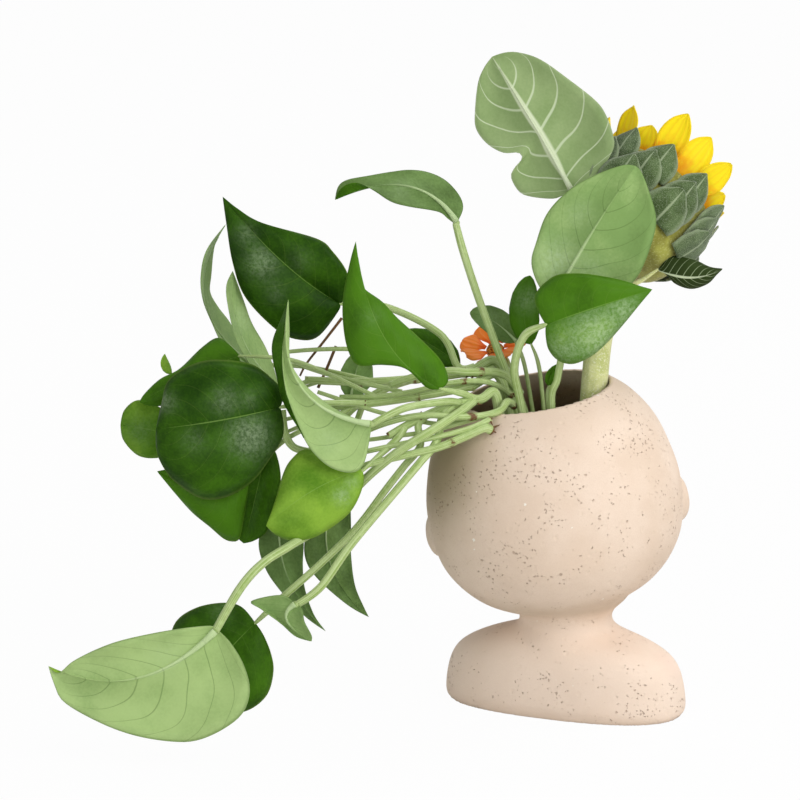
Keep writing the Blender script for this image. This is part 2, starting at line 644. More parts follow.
def pot_form():
    """Head, neck and bust grown together, hollow and drilled, as one fine mesh."""
    head, neck = Skin(), Skin()
    turned(head, cup_outline(), 160, HEAD_PLACE)
    neck_line = [(radius * NECK_RADIUS, NECK_RISE + height * NECK_RADIUS) for radius, height in NECK_SHARES]
    neck_line = curve(neck_line, 4)
    outline = [(0.0, neck_line[0][1])] + [tuple(point) for point in neck_line] + [(0.0, neck_line[-1][1])]
    turned(neck, outline, 96, Matrix.Identity(4))

    def features(work):
        for (across, height), radii, lift, side_turn in FACE:
            centre = Vector((across * HEAD, face_depth(across, height) - lift * HEAD, height * HEAD))
            side_turn = Matrix.Rotation(math.radians(side_turn), 4, "Z")
            place = HEAD_PLACE @ Matrix.Translation(centre) @ side_turn
            swelling(work, [radius * HEAD for radius in radii], place)
        for side in (1, -1):
            centre = Vector((side * EAR_PLACE[0], EAR_PLACE[1], EAR_PLACE[2])) * HEAD
            swelling(work, [share * EAR for share in EAR_RADII], HEAD_PLACE @ Matrix.Translation(centre))
    shells = [shell_object("head", lambda work: from_skin(work, head)),
              shell_object("neck", lambda work: from_skin(work, neck)),
              shell_object("bust", lambda work: from_skin(work, bust_rings()))]
    for shell in shells:
        drill(shell, DRAIN_RADIUS, -0.01, NECK_RISE + 1.2 * NECK_RADIUS)
    drill(shells[2], SEAT_RADIUS, -0.01, SEAT_DEPTH)
    shells.append(shell_object("features", features))
    for shell in shells:
        shell.select_set(True)
    whole = shells[0]
    bpy.context.view_layer.objects.active = whole
    with bpy.context.temp_override(active_object=whole, object=whole, selected_editable_objects=shells):
        bpy.ops.object.join()
    grown = whole.modifiers.new("grown", "REMESH")
    grown.mode = "VOXEL"
    grown.voxel_size = VOXEL
    freeze(whole)
    return whole


def relaxed(points, edges, weights, turns):
    """Points eased towards the middle of their neighbours, turn after turn."""
    count = len(points)
    ends = np.concatenate([edges[:, 0], edges[:, 1]])
    others = np.concatenate([edges[:, 1], edges[:, 0]])
    neighbours = np.maximum(np.bincount(ends, minlength=count), 1)
    for _ in range(turns):
        middle = [np.bincount(ends, points[others, axis], count) / neighbours for axis in range(3)]
        points = points + (np.stack(middle, axis=1) - points) * weights[:, None]
    return points


def eased(value, low, high):
    """The value's way from low to high, with soft ends."""
    way = np.clip((value - low) / (high - low), 0.0, 1.0)
    return way * way * (3 - 2 * way)


def polyline_radius(outline, height):
    """Radius of an outline at each height."""
    line = curve(outline, 4)
    return np.interp(height, line[:, 1], line[:, 0])


def rows_of(values, field, width, kind=float):
    """A field of a mesh's points or edges, one row each."""
    found = np.empty(len(values) * width, kind)
    values.foreach_get(field, found)
    return found.reshape(-1, width)


def moved(points, matrix):
    """An array of points taken through a matrix."""
    matrix = np.array(matrix)
    return points @ matrix[:3, :3].T + matrix[:3, 3]


def carve_face(points, local, within):
    """Sinks the hollows of the ears and the lines of the eyes and the mouth."""
    turn = HEAD_PLACE.to_3x3()
    for side in (1, -1):
        centre = np.array([side * EAR_HOLLOW_PLACE[0], EAR_HOLLOW_PLACE[1], EAR_HOLLOW_PLACE[2]]) * HEAD
        away = (local - centre) / (np.array(EAR_HOLLOW_RADII) * EAR)
        sunk = np.clip(1 - np.linalg.norm(away, axis=1), 0, 1)
        points -= np.array(turn @ Vector((side, 0, 0))) * (sunk * EAR_HOLLOW_DEPTH)[:, None]
    front = (local[:, 1] < 0) & ~within
    for across, low, wide, sag in CREASES:
        way = (local[:, 0] / HEAD - across) / wide
        line = low - sag * (1 - way ** 2)
        off = np.abs(local[:, 2] / HEAD - line) * HEAD
        sunk = np.clip(1 - off / CREASE_WIDTH, 0, 1) * eased(np.abs(way), 1.05, 0.85) * front
        points += np.array(turn @ Vector((0, 1, 0))) * (sunk * CREASE_DEPTH)[:, None]


def sink_dents(points, normals, outside, settings):
    """Sinks the pits and dents that are larger than the grain."""
    tree = kdtree.KDTree(len(points))
    for index, point in enumerate(points):
        tree.insert(point, index)
    tree.balance()
    dice = random.Random(7)
    for _ in range(settings.dent_count):
        middle = int(outside[dice.randrange(len(outside))])
        reach = dice.uniform(0.9, 1.7) * MM
        depth = dice.uniform(0.25, 0.6) * settings.dent_depth
        for _, index, distance in tree.find_range(points[middle], reach):
            points[index] -= normals[middle] * (depth * (1 - (distance / reach) ** 2) ** 2)


def tint_pot(mesh, points, local, within):
    """Says where the cast body is soiled inside, where it blushes and where damp stains it."""
    depth = (HEAD_SHARES[-1][1] * HEAD - local[:, 2]) / (0.6 * HEAD)
    inside = np.where(within, np.clip(depth, 0, 1), -0.2)
    shoulder = np.array([-0.062, -0.002, 0.030])
    blush = np.clip(1 - np.linalg.norm(points - shoulder, axis=1) / (14 * MM), 0, 1)
    damp = HEAD_CENTRE - RIGHT * (0.86 * HEAD) + RISE * (0.24 * HEAD) + TOWARD * (0.42 * HEAD)
    off = np.linalg.norm(points - np.array(damp), axis=1) / (34 * MM)
    under = eased(points[:, 2], 82 * MM, 62 * MM) * eased(points[:, 2], 48 * MM, 58 * MM)
    stain = np.exp(-off ** 2) + 0.36 * under - eased(points[:, 2], 62 * MM, 44 * MM)
    place = mesh.attributes.new("place", "FLOAT_VECTOR", "POINT")
    place.data.foreach_set("vector", np.stack([inside, blush, stain], axis=1).astype(np.float32).ravel())


def finish_pot(whole, settings):
    """Blends the seams, sets the cavity true, carves the face and sinks the pits."""
    mesh = whole.data
    points = rows_of(mesh.vertices, "co", 3)
    edges = rows_of(mesh.edges, "vertices", 2, int)
    turn_back = HEAD_PLACE.inverted()
    rim = eased(moved(points, turn_back)[:, 2], 0.80 * HEAD, 0.72 * HEAD)
    near_base = eased(points[:, 2], 1.2 * MM, 4.0 * MM)
    seam = eased(points[:, 2], *SEAM_LOW) * eased(points[:, 2], *SEAM_HIGH)
    points = relaxed(points, edges, 0.5 * rim * near_base, 6)
    points = relaxed(points, edges, 0.5 * seam * rim, 100)
    local = moved(points, turn_back)
    radius = np.hypot(local[:, 0], local[:, 1])
    cavity = inner_outline()
    wall = polyline_radius(cavity[1:], local[:, 2])
    within = (radius < wall + VOXEL) & (local[:, 2] > cavity[0][1] + 1.0 * MM)
    scale = np.where(within & (radius > 8 * MM), wall / np.maximum(radius, 1e-9), 1.0)
    local[:, :2] *= scale[:, None]
    points = moved(local, HEAD_PLACE)
    carve_face(points, local, within)
    mesh.vertices.foreach_set("co", points.ravel())
    mesh.update()

    normals = rows_of(mesh.vertices, "normal", 3)
    outside = np.flatnonzero(~within & (points[:, 2] > 3 * MM) & (local[:, 2] < 0.80 * HEAD))
    sink_dents(points, normals, outside, settings)
    for index in range(len(points)):
        drift = noise.noise(Vector(points[index]) * 45.0)
        points[index] += normals[index] * (drift * 0.18 * MM) * near_base[index] * rim[index]
    points[points[:, 2] < 0.6 * MM, 2] = 0.0
    mesh.vertices.foreach_set("co", points.ravel())
    tint_pot(mesh, points, local, within)
    mesh.shade_smooth()
    mesh.update()


# The plants.
VINES = {
    "vine_front": {
        "foot": (503, 0.32), "nodes": (0.45, 0.62, 0.80),
        "route": [(496, 397, 0.54), (480, 399, 0.62), (455, 404, 0.70), (420, 418, 0.76), (388, 436, 0.80)],
    },
    "vine_middle": {
        "foot": (516, 0.08), "nodes": (0.40, 0.66, 0.86),
        "route": [(500, 378, 0.32), (470, 386, 0.42), (430, 394, 0.50), (380, 402, 0.54), (322, 408, 0.56)],
    },
    "vine_back": {
        "foot": (522, -0.10), "nodes": (0.42, 0.64, 0.82),
        "route": [(500, 366, 0.06), (468, 372, 0.14), (425, 378, 0.20), (365, 382, 0.24), (305, 380, 0.24)],
    },
    "vine_far": {
        "foot": (537, -0.20), "nodes": (0.46, 0.70, 0.90),
        "route": [(508, 374, -0.12), (480, 373, -0.10), (446, 372, -0.09), (392, 386, -0.08),
                  (350, 410, -0.06)],
    },
}
VINE_RADIUS = 3.0 * MM
VINE_TAPER = 0.7

# Outlines of leaves that are mostly hidden: (way along the midrib, half width share).
OUTLINES = {
    "oval": [(0.0, 0.04), (0.06, 0.34), (0.16, 0.70), (0.32, 0.96), (0.50, 1.0), (0.68, 0.83),
             (0.84, 0.50), (0.94, 0.22), (1.0, 0.02)],
    "round": [(0.0, 0.06), (0.05, 0.42), (0.15, 0.78), (0.32, 0.98), (0.52, 1.0), (0.72, 0.86),
              (0.87, 0.60), (0.96, 0.32), (1.0, 0.05)],
}

# rib: base, middle and tip as pixels with depth. left, right: half width in pixels and the
# edge's depth beside the midrib. left_edge, right_edge: pixels from the base to the tip.
# fold: far edge of the part that is folded over beyond the left edge.
LEAVES = {
    "leaf_top_left": {
        "rib": [(341, 304, 0.22), (284, 263, 0.34), (223, 197, 0.30)], "left": (60, -0.10),
        "right": (34, 0.10),
        "left_edge": [(338, 312), (319, 336), (301, 340), (278, 331), (246, 298), (233, 263), (227, 226)],
        "right_edge": [(349, 290), (347, 272), (333, 252), (317, 239), (262, 223), (238, 209)],
        "shows": "top", "tone": 0.13, "stalk_px": 7.0, "vine": ("vine_back", 0.42),
        "stalk": [(440, 334, 0.12), (386, 307, 0.14)],
        "shades": [(305, 280, 22, 0.10), (330, 300, 14, -0.06), (240, 225, 14, 0.06)],
        "sheens": [(262, 262, 14, 0.30, -1), (246, 234, 10, 0.16), (276, 292, 10, 0.10, -1),
                   (300, 262, 12, 0.08, 1)],
    },
    "leaf_ribbon_outer": {
        "rib": [(250, 366, 0.02), (205, 300, -0.02), (226, 224, 0.0)], "left": (9, 0.24), "right": (8, -0.26),
        "left_edge": [(233, 357), (222, 344), (212, 323), (203, 300), (201, 276), (207, 250)],
        "right_edge": [(239, 343), (230, 323), (218, 307), (210, 292), (211, 276), (215, 244)],
        "shows": "under", "tone": 0.62, "stalk_px": 5.0, "vine": ("vine_back", 0.80),
        "stalk": [(300, 366, 0.06)],
        "sheens": [(207, 300, 16, 0.25), (215, 250, 12, 0.2)],
    },
    "leaf_ribbon_inner": {
        "rib": [(280, 392, 0.34), (241, 335, 0.28), (233, 271, 0.22)], "left": (13, 0.14),
        "right": (12, -0.14),
        "left_edge": [(262, 381), (249, 363), (236, 339), (228, 304), (227, 285)],
        "right_edge": [(274, 368), (265, 346), (252, 323), (244, 301)],
        "shows": "under", "tone": 0.74, "stalk_px": 5.0, "vine": ("vine_back", 0.985), "stalk": [],
        "sheens": [(240, 320, 16, 0.25)],
    },
    "leaf_big_round": {
        "rib": [(281, 407, 0.84), (222, 420, 0.98), (157, 429, 0.80)], "left": (76, -0.16),
        "right": (58, -0.10),
        "left_edge": [(284, 434), (269, 461), (251, 483), (226, 497), (202, 498), (178, 483), (167, 471),
                      (158, 452)],
        "right_edge": [(284, 393), (273, 379), (251, 364), (214, 360), (188, 367), (169, 381), (163, 402)],
        "shows": "top", "tone": 0.15, "stalk_px": 7.0, "vine": ("vine_middle", 0.86),
        "stalk": [(308, 404, 0.76)],
        "shades": [(235, 385, 26, 0.04), (205, 470, 26, 0.12), (262, 462, 20, 0.05), (190, 385, 18, -0.04)],
        "sheens": [(250, 436, 19, 0.34, -1), (226, 401, 13, 0.18, 1), (167, 402, 9, 0.25, 1),
                   (195, 440, 12, 0.10, -1),
                   (250, 400, 8, 0.12, 1)],
    },
    "leaf_far_left": {
        "rib": [(176, 436, 0.30), (148, 429, 0.36), (121, 425, 0.34)], "left": (27, -0.06),
        "right": (27, 0.04),
        "left_edge": [(172, 452), (156, 458), (138, 455), (124, 440)],
        "right_edge": [(173, 420), (160, 407), (139, 400), (125, 410)],
        "shows": "top", "tone": 0.66, "stalk_px": 4.0, "vine": ("vine_middle", 0.985),
        "stalk": [(250, 428, 0.42), (205, 438, 0.32)],
        "sheens": [(140, 430, 14, 0.12)],
    },
    "leaf_bud": {
        "rib": [(172, 374, 0.12), (166, 365, 0.12), (165, 354, 0.12)], "left": (5, 0.05), "right": (4, -0.05),
        "outline": "oval", "shows": "top", "tone": 0.8, "stalk_px": 3.0, "vine": ("vine_back", 0.95),
        "stalk": [(250, 402, 0.16), (200, 388, 0.12)],
    },
    "leaf_behind_round": {
        "rib": [(240, 356, 0.56), (195, 374, 0.52), (140, 402, 0.50)], "left": (30, -0.06),
        "right": (16, -0.10),
        "left_edge": [(238, 378), (212, 396), (178, 404), (152, 406)],
        "right_edge": [(231, 346), (218, 338), (202, 348), (180, 369), (161, 379), (146, 393)],
        "shows": "top", "tone": 0.35, "stalk_px": 5.0, "vine": ("vine_middle", 0.80),
        "stalk": [(298, 362, 0.54)],
    },
    "leaf_twisted": {
        "rib": [(372, 424, 1.02), (301, 386, 1.08), (289, 300, 0.92)], "left": (56, 0.02),
        "right": (6, -0.16),
        "left_edge": [(365, 461), (353, 472), (331, 467), (312, 450), (300, 428), (288, 397), (283, 363),
                      (285, 330)],
        "right_edge": [(345, 414), (324, 401), (304, 383), (291, 361), (290, 330)],
        "fold": [(300, 428), (291, 415), (282, 397), (278, 379), (273, 355), (274, 339), (282, 319),
                 (289, 300)],
        "shows": "under", "tone": 0.84, "stalk_px": 8.0, "vine": ("vine_front", 0.62),
        "stalk": [(405, 408, 0.98)],
        "shades": [(350, 450, 20, 0.06)],
        "sheens": [(330, 440, 12, 0.15)],
    },
    "leaf_bright": {
        "rib": [(363, 470, 0.96), (315, 489, 1.04), (267, 525, 0.98)], "left": (33, -0.08),
        "right": (37, -0.12),
        "left_edge": [(363, 486), (350, 512), (322, 533), (305, 539), (288, 539), (275, 533)],
        "right_edge": [(352, 464), (328, 455), (306, 449), (292, 459), (284, 473), (275, 503)],
        "shows": "top", "tone": 0.80, "stalk_px": 7.0, "vine": ("vine_front", 0.90), "stalk": [],
        "shades": [(312, 478, 16, -0.14), (330, 515, 16, 0.10), (290, 520, 16, -0.08)],
        "sheens": [(342, 496, 8, 0.35), (352, 482, 7, 0.25)],
    },
    "leaf_below_round": {
        "rib": [(268, 440, 0.46), (256, 496, 0.50), (244, 543, 0.46)], "left": (27, -0.06),
        "right": (30, -0.06),
        "left_edge": [(277, 455), (281, 481), (274, 510), (267, 531), (255, 540)],
        "right_edge": [(244, 450), (229, 478), (226, 508), (234, 532)],
        "shows": "top", "tone": 0.26, "stalk_px": 5.0, "vine": ("vine_middle", 0.94), "stalk": [],
    },
    "leaf_curled": {
        "rib": [(250, 478, 0.66), (208, 486, 0.66), (158, 471, 0.66)], "left": (58, -0.10),
        "right": (12, -0.02),
        "left_edge": [(247, 500), (244, 519), (240, 538), (233, 541), (224, 538), (210, 526), (193, 512),
                      (176, 493)],
        "right_edge": [(232, 470), (208, 474), (180, 468)],
        "shows": "top", "tone": 0.45, "stalk_px": 5.0, "vine": ("vine_middle", 0.90),
        "stalk": [(285, 440, 0.66)],
    },
    "leaf_hanging_left": {
        "rib": [(290, 482, 0.36), (283, 560, 0.34), (326, 631, 0.36)], "left": (20, 0.12),
        "right": (26, -0.10),
        "left_edge": [(302, 505), (304, 539), (303, 565), (305, 588), (314, 614)],
        "right_edge": [(272, 505), (259, 539), (265, 567), (281, 591), (305, 616)],
        "shows": "under", "tone": 0.26, "stalk_px": 6.0, "vine": ("vine_far", 0.98),
        "stalk": [(312, 448, 0.20)],
        "shades": [(283, 590, 16, 0.06)],
    },
    "leaf_hanging_right": {
        "rib": [(338, 480, 0.10), (328, 556, 0.10), (369, 617, 0.12)], "left": (20, -0.10),
        "right": (27, 0.06),
        "left_edge": [(349, 496), (351, 520), (351, 553), (355, 585), (364, 607)],
        "right_edge": [(320, 505), (306, 535), (306, 560), (320, 581), (348, 605)],
        "shows": "under", "tone": 0.20, "stalk_px": 6.0, "vine": ("vine_far", 0.92), "stalk": [],
        "shades": [(325, 540, 18, 0.05)],
    },
    "leaf_small_bright": {
        "rib": [(297, 604, 0.98), (288, 619, 0.98), (312, 640, 0.96)], "left": (10, 0.10),
        "right": (24, -0.04),
        "left_edge": [(303, 608), (305, 620), (312, 634)],
        "right_edge": [(282, 594), (252, 600), (262, 608), (281, 622), (296, 635)],
        "shows": "under", "tone": 0.62, "stalk_px": 8.0, "vine": ("vine_front", 0.66),
        "stalk": [(436, 442, 0.88), (420, 462, 0.92), (404, 481, 0.94), (352, 543, 0.96), (322, 585, 0.98)],
    },
    "leaf_low_back": {
        "rib": [(256, 622, 0.70), (224, 655, 0.72), (186, 700, 0.66)], "left": (46, -0.06),
        "right": (46, -0.10),
        "left_edge": [(264, 634), (271, 651), (274, 669), (269, 691), (256, 705), (238, 712), (212, 712)],
        "right_edge": [(242, 606), (224, 602), (197, 607), (176, 622), (170, 650), (174, 680)],
        "shows": "top", "tone": 0.24, "stalk_px": 7.0, "vine": ("vine_front", 0.80),
        "stalk": [(420, 446, 0.80), (404, 466, 0.80), (386, 489, 0.80), (357, 527, 0.80), (322, 562, 0.76),
                  (286, 594, 0.74)],
        "shades": [(255, 680, 20, 0.06), (200, 615, 20, -0.05)],
        "sheens": [(222, 612, 10, 0.12)],
    },
    "leaf_low_front": {
        "rib": [(218, 627, 1.30), (138, 676, 1.36), (51, 664, 1.30)], "left": (88, 0.02), "right": (36, 0.06),
        "left_edge": [(232, 641), (245, 663), (251, 687), (245, 709), (227, 725), (201, 737), (176, 739),
                      (138, 733),
                      (102, 720), (67, 700), (57, 682)],
        "right_edge": [(210, 624), (174, 628), (129, 637), (102, 646), (76, 659), (61, 671)],
        "shows": "under", "tone": 0.88, "stalk_px": 9.0, "vine": ("vine_front", 0.52),
        "stalk": [(432, 430, 1.00), (396, 453, 0.98), (362, 482, 0.80), (326, 522, 0.80), (292, 544, 1.00),
                  (264, 562, 1.18), (242, 586, 1.28)],
        "shades": [(200, 700, 26, 0.05), (95, 680, 22, -0.10)],
        "sheens": [(170, 655, 18, 0.12)],
    },
    "leaf_behind_stems": {
        "rib": [(460, 366, -0.30), (436, 348, -0.30), (402, 330, -0.30)], "left": (15, 0.04),
        "right": (15, -0.04),
        "outline": "oval", "shows": "top", "tone": 0.25, "stalk_px": 4.0, "vine": ("vine_far", 0.46),
        "stalk": [],
    },
    "leaf_small_pale": {
        "rib": [(350, 400, 0.02), (355, 376, 0.0), (363, 346, -0.02)], "left": (15, 0.0),
        "right": (18, -0.04),
        "outline": "oval", "shows": "under", "tone": 0.35, "stalk_px": 4.0, "vine": ("vine_far", 0.88),
        "stalk": [],
    },
    "leaf_central_dark": {
        "rib": [(441, 389, 0.86), (384, 337, 0.96), (356, 242, 0.80)], "left": (36, -0.06),
        "right": (26, -0.10),
        "left_edge": [(427, 388), (406, 369), (382, 365), (361, 366), (352, 359), (345, 337), (343, 302),
                      (350, 264)],
        "right_edge": [(448, 380), (441, 361), (420, 339), (397, 318), (382, 302), (359, 284), (357, 262)],
        "shows": "top", "tone": 0.46, "stalk_px": 7.0, "vine": ("vine_front", 0.50), "stalk": [],
        "shades": [(352, 320, 16, -0.14), (392, 348, 18, 0.06), (428, 378, 14, -0.16), (380, 300, 12, -0.1)],
        "sheens": [(372, 318, 10, 0.08)],
    },
    "leaf_top_arch": {
        "rib": [(456, 225, 0.20), (408, 187, 0.24), (335, 200, 0.20)], "left": (16, 0.14),
        "right": (22, -0.14),
        "left_edge": [(448, 219), (438, 212), (409, 207), (391, 202), (374, 191), (358, 183), (346, 185),
                      (339, 191)],
        "right_edge": [(463, 209), (459, 195), (445, 180), (427, 172), (409, 170), (391, 172), (368, 176),
                       (347, 180),
                       (338, 187)],
        "shows": "under", "tone": 0.26, "stalk_px": 7.5, "foot": (530, 0.10),
        "stalk": [(511, 388, 0.22), (498, 351, 0.24), (478, 297, 0.22), (463, 251, 0.20)],
        "shades": [(430, 190, 16, -0.06)],
        "sheens": [(400, 190, 10, 0.15)],
    },
    "leaf_grey_small": {
        "rib": [(516, 342, 0.06), (494, 322, 0.06), (470, 313, 0.05)], "left": (13, 0.06),
        "right": (15, -0.02),
        "outline": "round", "shows": "under", "tone": 0.34, "stalk_px": 4.0, "foot": (540, -0.02),
        "stalk": [(526, 372, 0.06)],
        "sheens": [(490, 320, 12, 0.15)],
    },
    "leaf_grey_upright": {
        "rib": [(531, 344, 0.20), (524, 312, 0.22), (530, 276, 0.20)], "left": (15, -0.06),
        "right": (15, 0.04),
        "outline": "round", "shows": "top", "tone": 0.42, "stalk_px": 4.0, "foot": (548, 0.06),
        "stalk": [(540, 374, 0.20)],
        "sheens": [(528, 300, 12, 0.25)],
    },
    "leaf_pale_oval": {
        "rib": [(555, 298, 0.62), (588, 238, 0.72), (635, 167, 0.66)], "left": (46, -0.06),
        "right": (50, -0.04),
        "left_edge": [(541, 290), (533, 274), (531, 260), (535, 245), (546, 215), (567, 192), (594, 176),
                      (622, 166)],
        "right_edge": [(575, 303), (604, 301), (622, 294), (632, 283), (642, 267), (653, 236), (655, 217),
                       (649, 195),
                       (641, 174)],
        "shows": "under", "tone": 0.66, "stalk_px": 7.0, "foot": (558, 0.40),
        "stalk": [(551, 402, 0.56), (557, 378, 0.60), (562, 340, 0.62)],
        "shades": [(636, 235, 22, -0.22), (600, 200, 18, -0.12), (560, 270, 20, 0.12)],
        "sheens": [(556, 262, 20, 0.45), (590, 270, 14, 0.20), (580, 215, 14, 0.18)],
    },
    "leaf_dark_heart": {
        "rib": [(545, 325, 0.86), (600, 306, 0.95), (651, 290, 0.88)], "left": (30, -0.08),
        "right": (50, -0.10),
        "left_edge": [(537, 310), (535, 294), (553, 277), (574, 274), (596, 276), (621, 281), (640, 287)],
        "right_edge": [(545, 336), (548, 350), (558, 361), (573, 364), (591, 356), (606, 343), (622, 325),
                       (640, 303)],
        "shows": "top", "tone": 0.45, "stalk_px": 8.0, "foot": (532, 0.36),
        "stalk": [(520, 402, 0.50), (514, 368, 0.62), (524, 336, 0.76)],
        "shades": [(585, 290, 24, -0.08, -1), (560, 300, 16, -0.08, -1), (600, 335, 28, 0.22, 1),
                   (565, 340, 20, 0.12, 1)],
        "sheens": [(595, 335, 28, 0.50, 1), (560, 350, 14, 0.30, 1), (625, 310, 14, 0.35, 1)],
    },
}
# Small leaves that only the render shows.
SPROUTS = {
    "leaf_sprout_rim": {
        "rib": [(549, 386, 0.50), (550, 376, 0.52), (561, 363, 0.50)], "left": (5, 0.03), "right": (9, -0.03),
        "outline": "oval", "shows": "top", "tone": 0.40, "stalk_px": 5.0, "foot": (556, 0.30),
        "stalk": [(548, 402, 0.44)],
    },
}
# More stems and stalks in the bundle: width in pixels at both ends, age of the first end,
# and the route.
LOOSE_STEMS = [
    (8, 6, 0.9, [(514, 406, 0.46), (507, 402, 0.58), (499, 411, 0.70), (480, 416, 0.78), (455, 417, 0.82),
                 (430, 415, 0.84), (400, 419, 0.82), (368, 430, 0.74), (340, 446, 0.62)]),
    (10, 6, 1.0, [(491, 430, 0.80), (483, 428, 0.84), (463, 437, 0.88), (438, 447, 0.92), (405, 455, 0.95),
                  (372, 463, 0.92), (352, 470, 0.86)]),
    (9, 7, 0.3, [(520, 394, 0.20), (508, 378, 0.30), (494, 372, 0.40), (467, 372, 0.48), (448, 371, 0.50),
                 (420, 375, 0.50), (390, 385, 0.48)]),
    (6, 5, 0.8, [(512, 396, 0.34), (496, 385, 0.44), (478, 381, 0.50), (449, 383, 0.56), (415, 391, 0.58),
                 (380, 396, 0.56), (340, 397, 0.50)]),
    (6, 5, 0.6, [(490, 419, 0.80), (470, 428, 0.86), (440, 436, 0.90), (405, 443, 0.90), (372, 450, 0.86),
                 (350, 455, 0.80)]),
    (5, 4, 0.0, [(400, 352, 0.30), (372, 350, 0.30), (340, 349, 0.28), (310, 350, 0.26), (287, 352, 0.24)]),
    (5, 5, 0.0, [(402, 392, 0.40), (372, 385, 0.40), (345, 379, 0.38), (318, 371, 0.36), (295, 363, 0.34)]),
    (5, 4, 0.0, [(470, 420, 0.66), (440, 424, 0.66), (405, 418, 0.64), (375, 411, 0.60), (345, 401, 0.56),
                 (318, 392, 0.52)]),
    (3, 2, 1.0, [(342, 318, 0.20), (325, 340, 0.20), (307, 363, 0.20), (300, 376, 0.20)]),
    (3, 3, 1.0, [(336, 346, 0.16), (327, 368, 0.16), (318, 388, 0.16)]),
    (5, 4, 0.0, [(478, 418, 0.74), (430, 431, 0.74), (395, 436, 0.74), (360, 440, 0.70), (330, 436, 0.62)]),
    (9, 7, 0.0, [(282, 410, 0.80), (285, 432, 0.80), (294, 447, 0.80), (312, 452, 0.78)]),
]
SUNFLOWER_LEAVES = {
    "sunflower_leaf_big": {
        "rib": [(572, 192, 0.36), (537, 131, 0.32), (492, 57, 0.20)], "left": (50, -0.04),
        "right": (62, 0.04),
        "left_edge": [(564, 195), (553, 199), (531, 197), (519, 192), (511, 178), (514, 169), (522, 159),
                      (518, 153),
                      (503, 153), (487, 144), (476, 129), (475, 111), (478, 83), (484, 68)],
        "right_edge": [(588, 182), (603, 167), (613, 149), (613, 138), (607, 119), (596, 102), (567, 79),
                       (540, 60),
                       (519, 53), (505, 53)],
        "shows": "under", "tone": 0.7, "stalk_px": 7.0, "vine": ("sunflower_stem", 0.50),
        "stalk": [(574, 262, 0.34)],
    },
    "sunflower_leaf_small": {
        "rib": [(657, 270, 0.36), (690, 278, 0.38), (722, 269, 0.33)], "left": (15, -0.06),
        "right": (13, -0.08),
        "left_edge": [(665, 261), (675, 256), (694, 260), (709, 267)],
        "right_edge": [(664, 273), (675, 284), (691, 289), (707, 284), (716, 275)],
        "shows": "top", "tone": 0.1, "stalk_px": 5.0, "vine": ("sunflower_stem", 0.88),
        "stalk": [(630, 285, 0.34)],
    },
}
ROWS = 56
COLUMNS = 9
vine_lines = {}


def foot(x_px, back):
    """Lowest point of a stem in the potting mix, below a pixel column."""
    middle = HEAD_CENTRE + RIGHT * ((x_px - HEAD_CENTRE_PX[0]) * PX) + BACK * (back * HEAD)
    return Vector((middle.x, middle.y, MIX_TOP - PLANTING))


def px_direction(line):
    """Direction of a line of pixels at each of its points."""
    step = np.gradient(line[:, :2], axis=0)
    return step / np.maximum(np.linalg.norm(step, axis=1, keepdims=True), 1e-9)


def edge_rows(spec, side, rib):
    """Edge of a blade beside each row of its midrib, as pixels with depth."""
    width, depth = spec[side]
    base, tip = rib[0], rib[-1]
    if side + "_edge" in spec:
        line = evenly(curve([base[:2]] + spec[side + "_edge"] + [tip[:2]], 8), len(rib))
    else:
        shares = np.array(OUTLINES[spec["outline"]])
        share = np.interp(np.linspace(0, 1, len(rib)), shares[:, 0], shares[:, 1])
        heading = px_direction(rib)
        turned_px = np.stack([heading[:, 1], -heading[:, 0]], axis=1) * (1 if side == "left" else -1)
        line = rib[:, :2] + turned_px * (share * width)[:, None]
    off = np.linalg.norm(line - rib[:, :2], axis=1)
    return np.column_stack([line, rib[:, 2] + depth * off / off.max()])


def blade_grid(spec, dice):
    """Rows of a blade from its left edge over the midrib to its right edge."""
    base, middle, tip = [np.array(point) for point in spec["rib"]]
    share = np.linspace(0, 1, ROWS)[:, None]
    bend = middle * 2 - (base + tip) * 0.5
    rib = evenly(base * (1 - share) ** 2 + bend * (2 * share * (1 - share)) + tip * share ** 2, ROWS)
    share = share[:, 0]
    up = 1 if spec["shows"] == "top" else -1
    parts, across = [], []
    ramp = (np.arange(COLUMNS + 1) / COLUMNS) ** 1.4
    swing, start = dice.uniform(2.0, 3.2), dice.uniform(0, 6)
    for side in ("left", "right"):
        edge = edge_rows(spec, side, rib)
        off = np.linalg.norm(edge[:, :2] - rib[:, :2], axis=1)[:, None] / HEAD_PX
        t = ramp[None, :]
        rows = rib[:, None, :] + (edge - rib)[:, None, :] * t[..., None]
        bow = up * 0.16 * off * np.sin(math.pi * t)
        wave = 0.018 * np.sin(2 * math.pi * swing * share + start)[:, None] * t ** 2 * np.minimum(off * 5, 1)
        along = share[:, None] - 0.34 * (0.6 * t + 0.4 * t ** 2)
        quilt = up * 0.004 * np.cos(2 * math.pi * 8 * along) * np.sin(math.pi * t) * np.minimum(off * 4, 1)
        rows[..., 2] += bow + wave - quilt
        parts.append(rows)
        across.append(t)
        start += 1.9
    grid = np.concatenate([parts[0][:, :0:-1], parts[1]], axis=1)
    place = np.concatenate([-across[0][:, :0:-1], across[1]], axis=1)
    return rib, grid, place


def patches(pixels, base, spots):
    """A value over a blade, changed softly round pixels: (x, y, reach, change), and for one
    side of the midrib only where a fifth number is -1 for the left or 1 for the right."""
    value = np.full(pixels.shape[:2], float(base))
    for x_px, y_px, reach, change, *side in spots:
        off = np.hypot(pixels[..., 0] - x_px, pixels[..., 1] - y_px) / reach
        spot = change * np.exp(-off ** 2)
        if side and side[0] < 0:
            spot[:, COLUMNS:] = 0.0
        elif side:
            spot[:, :COLUMNS + 1] = 0.0
        value += spot
    return value


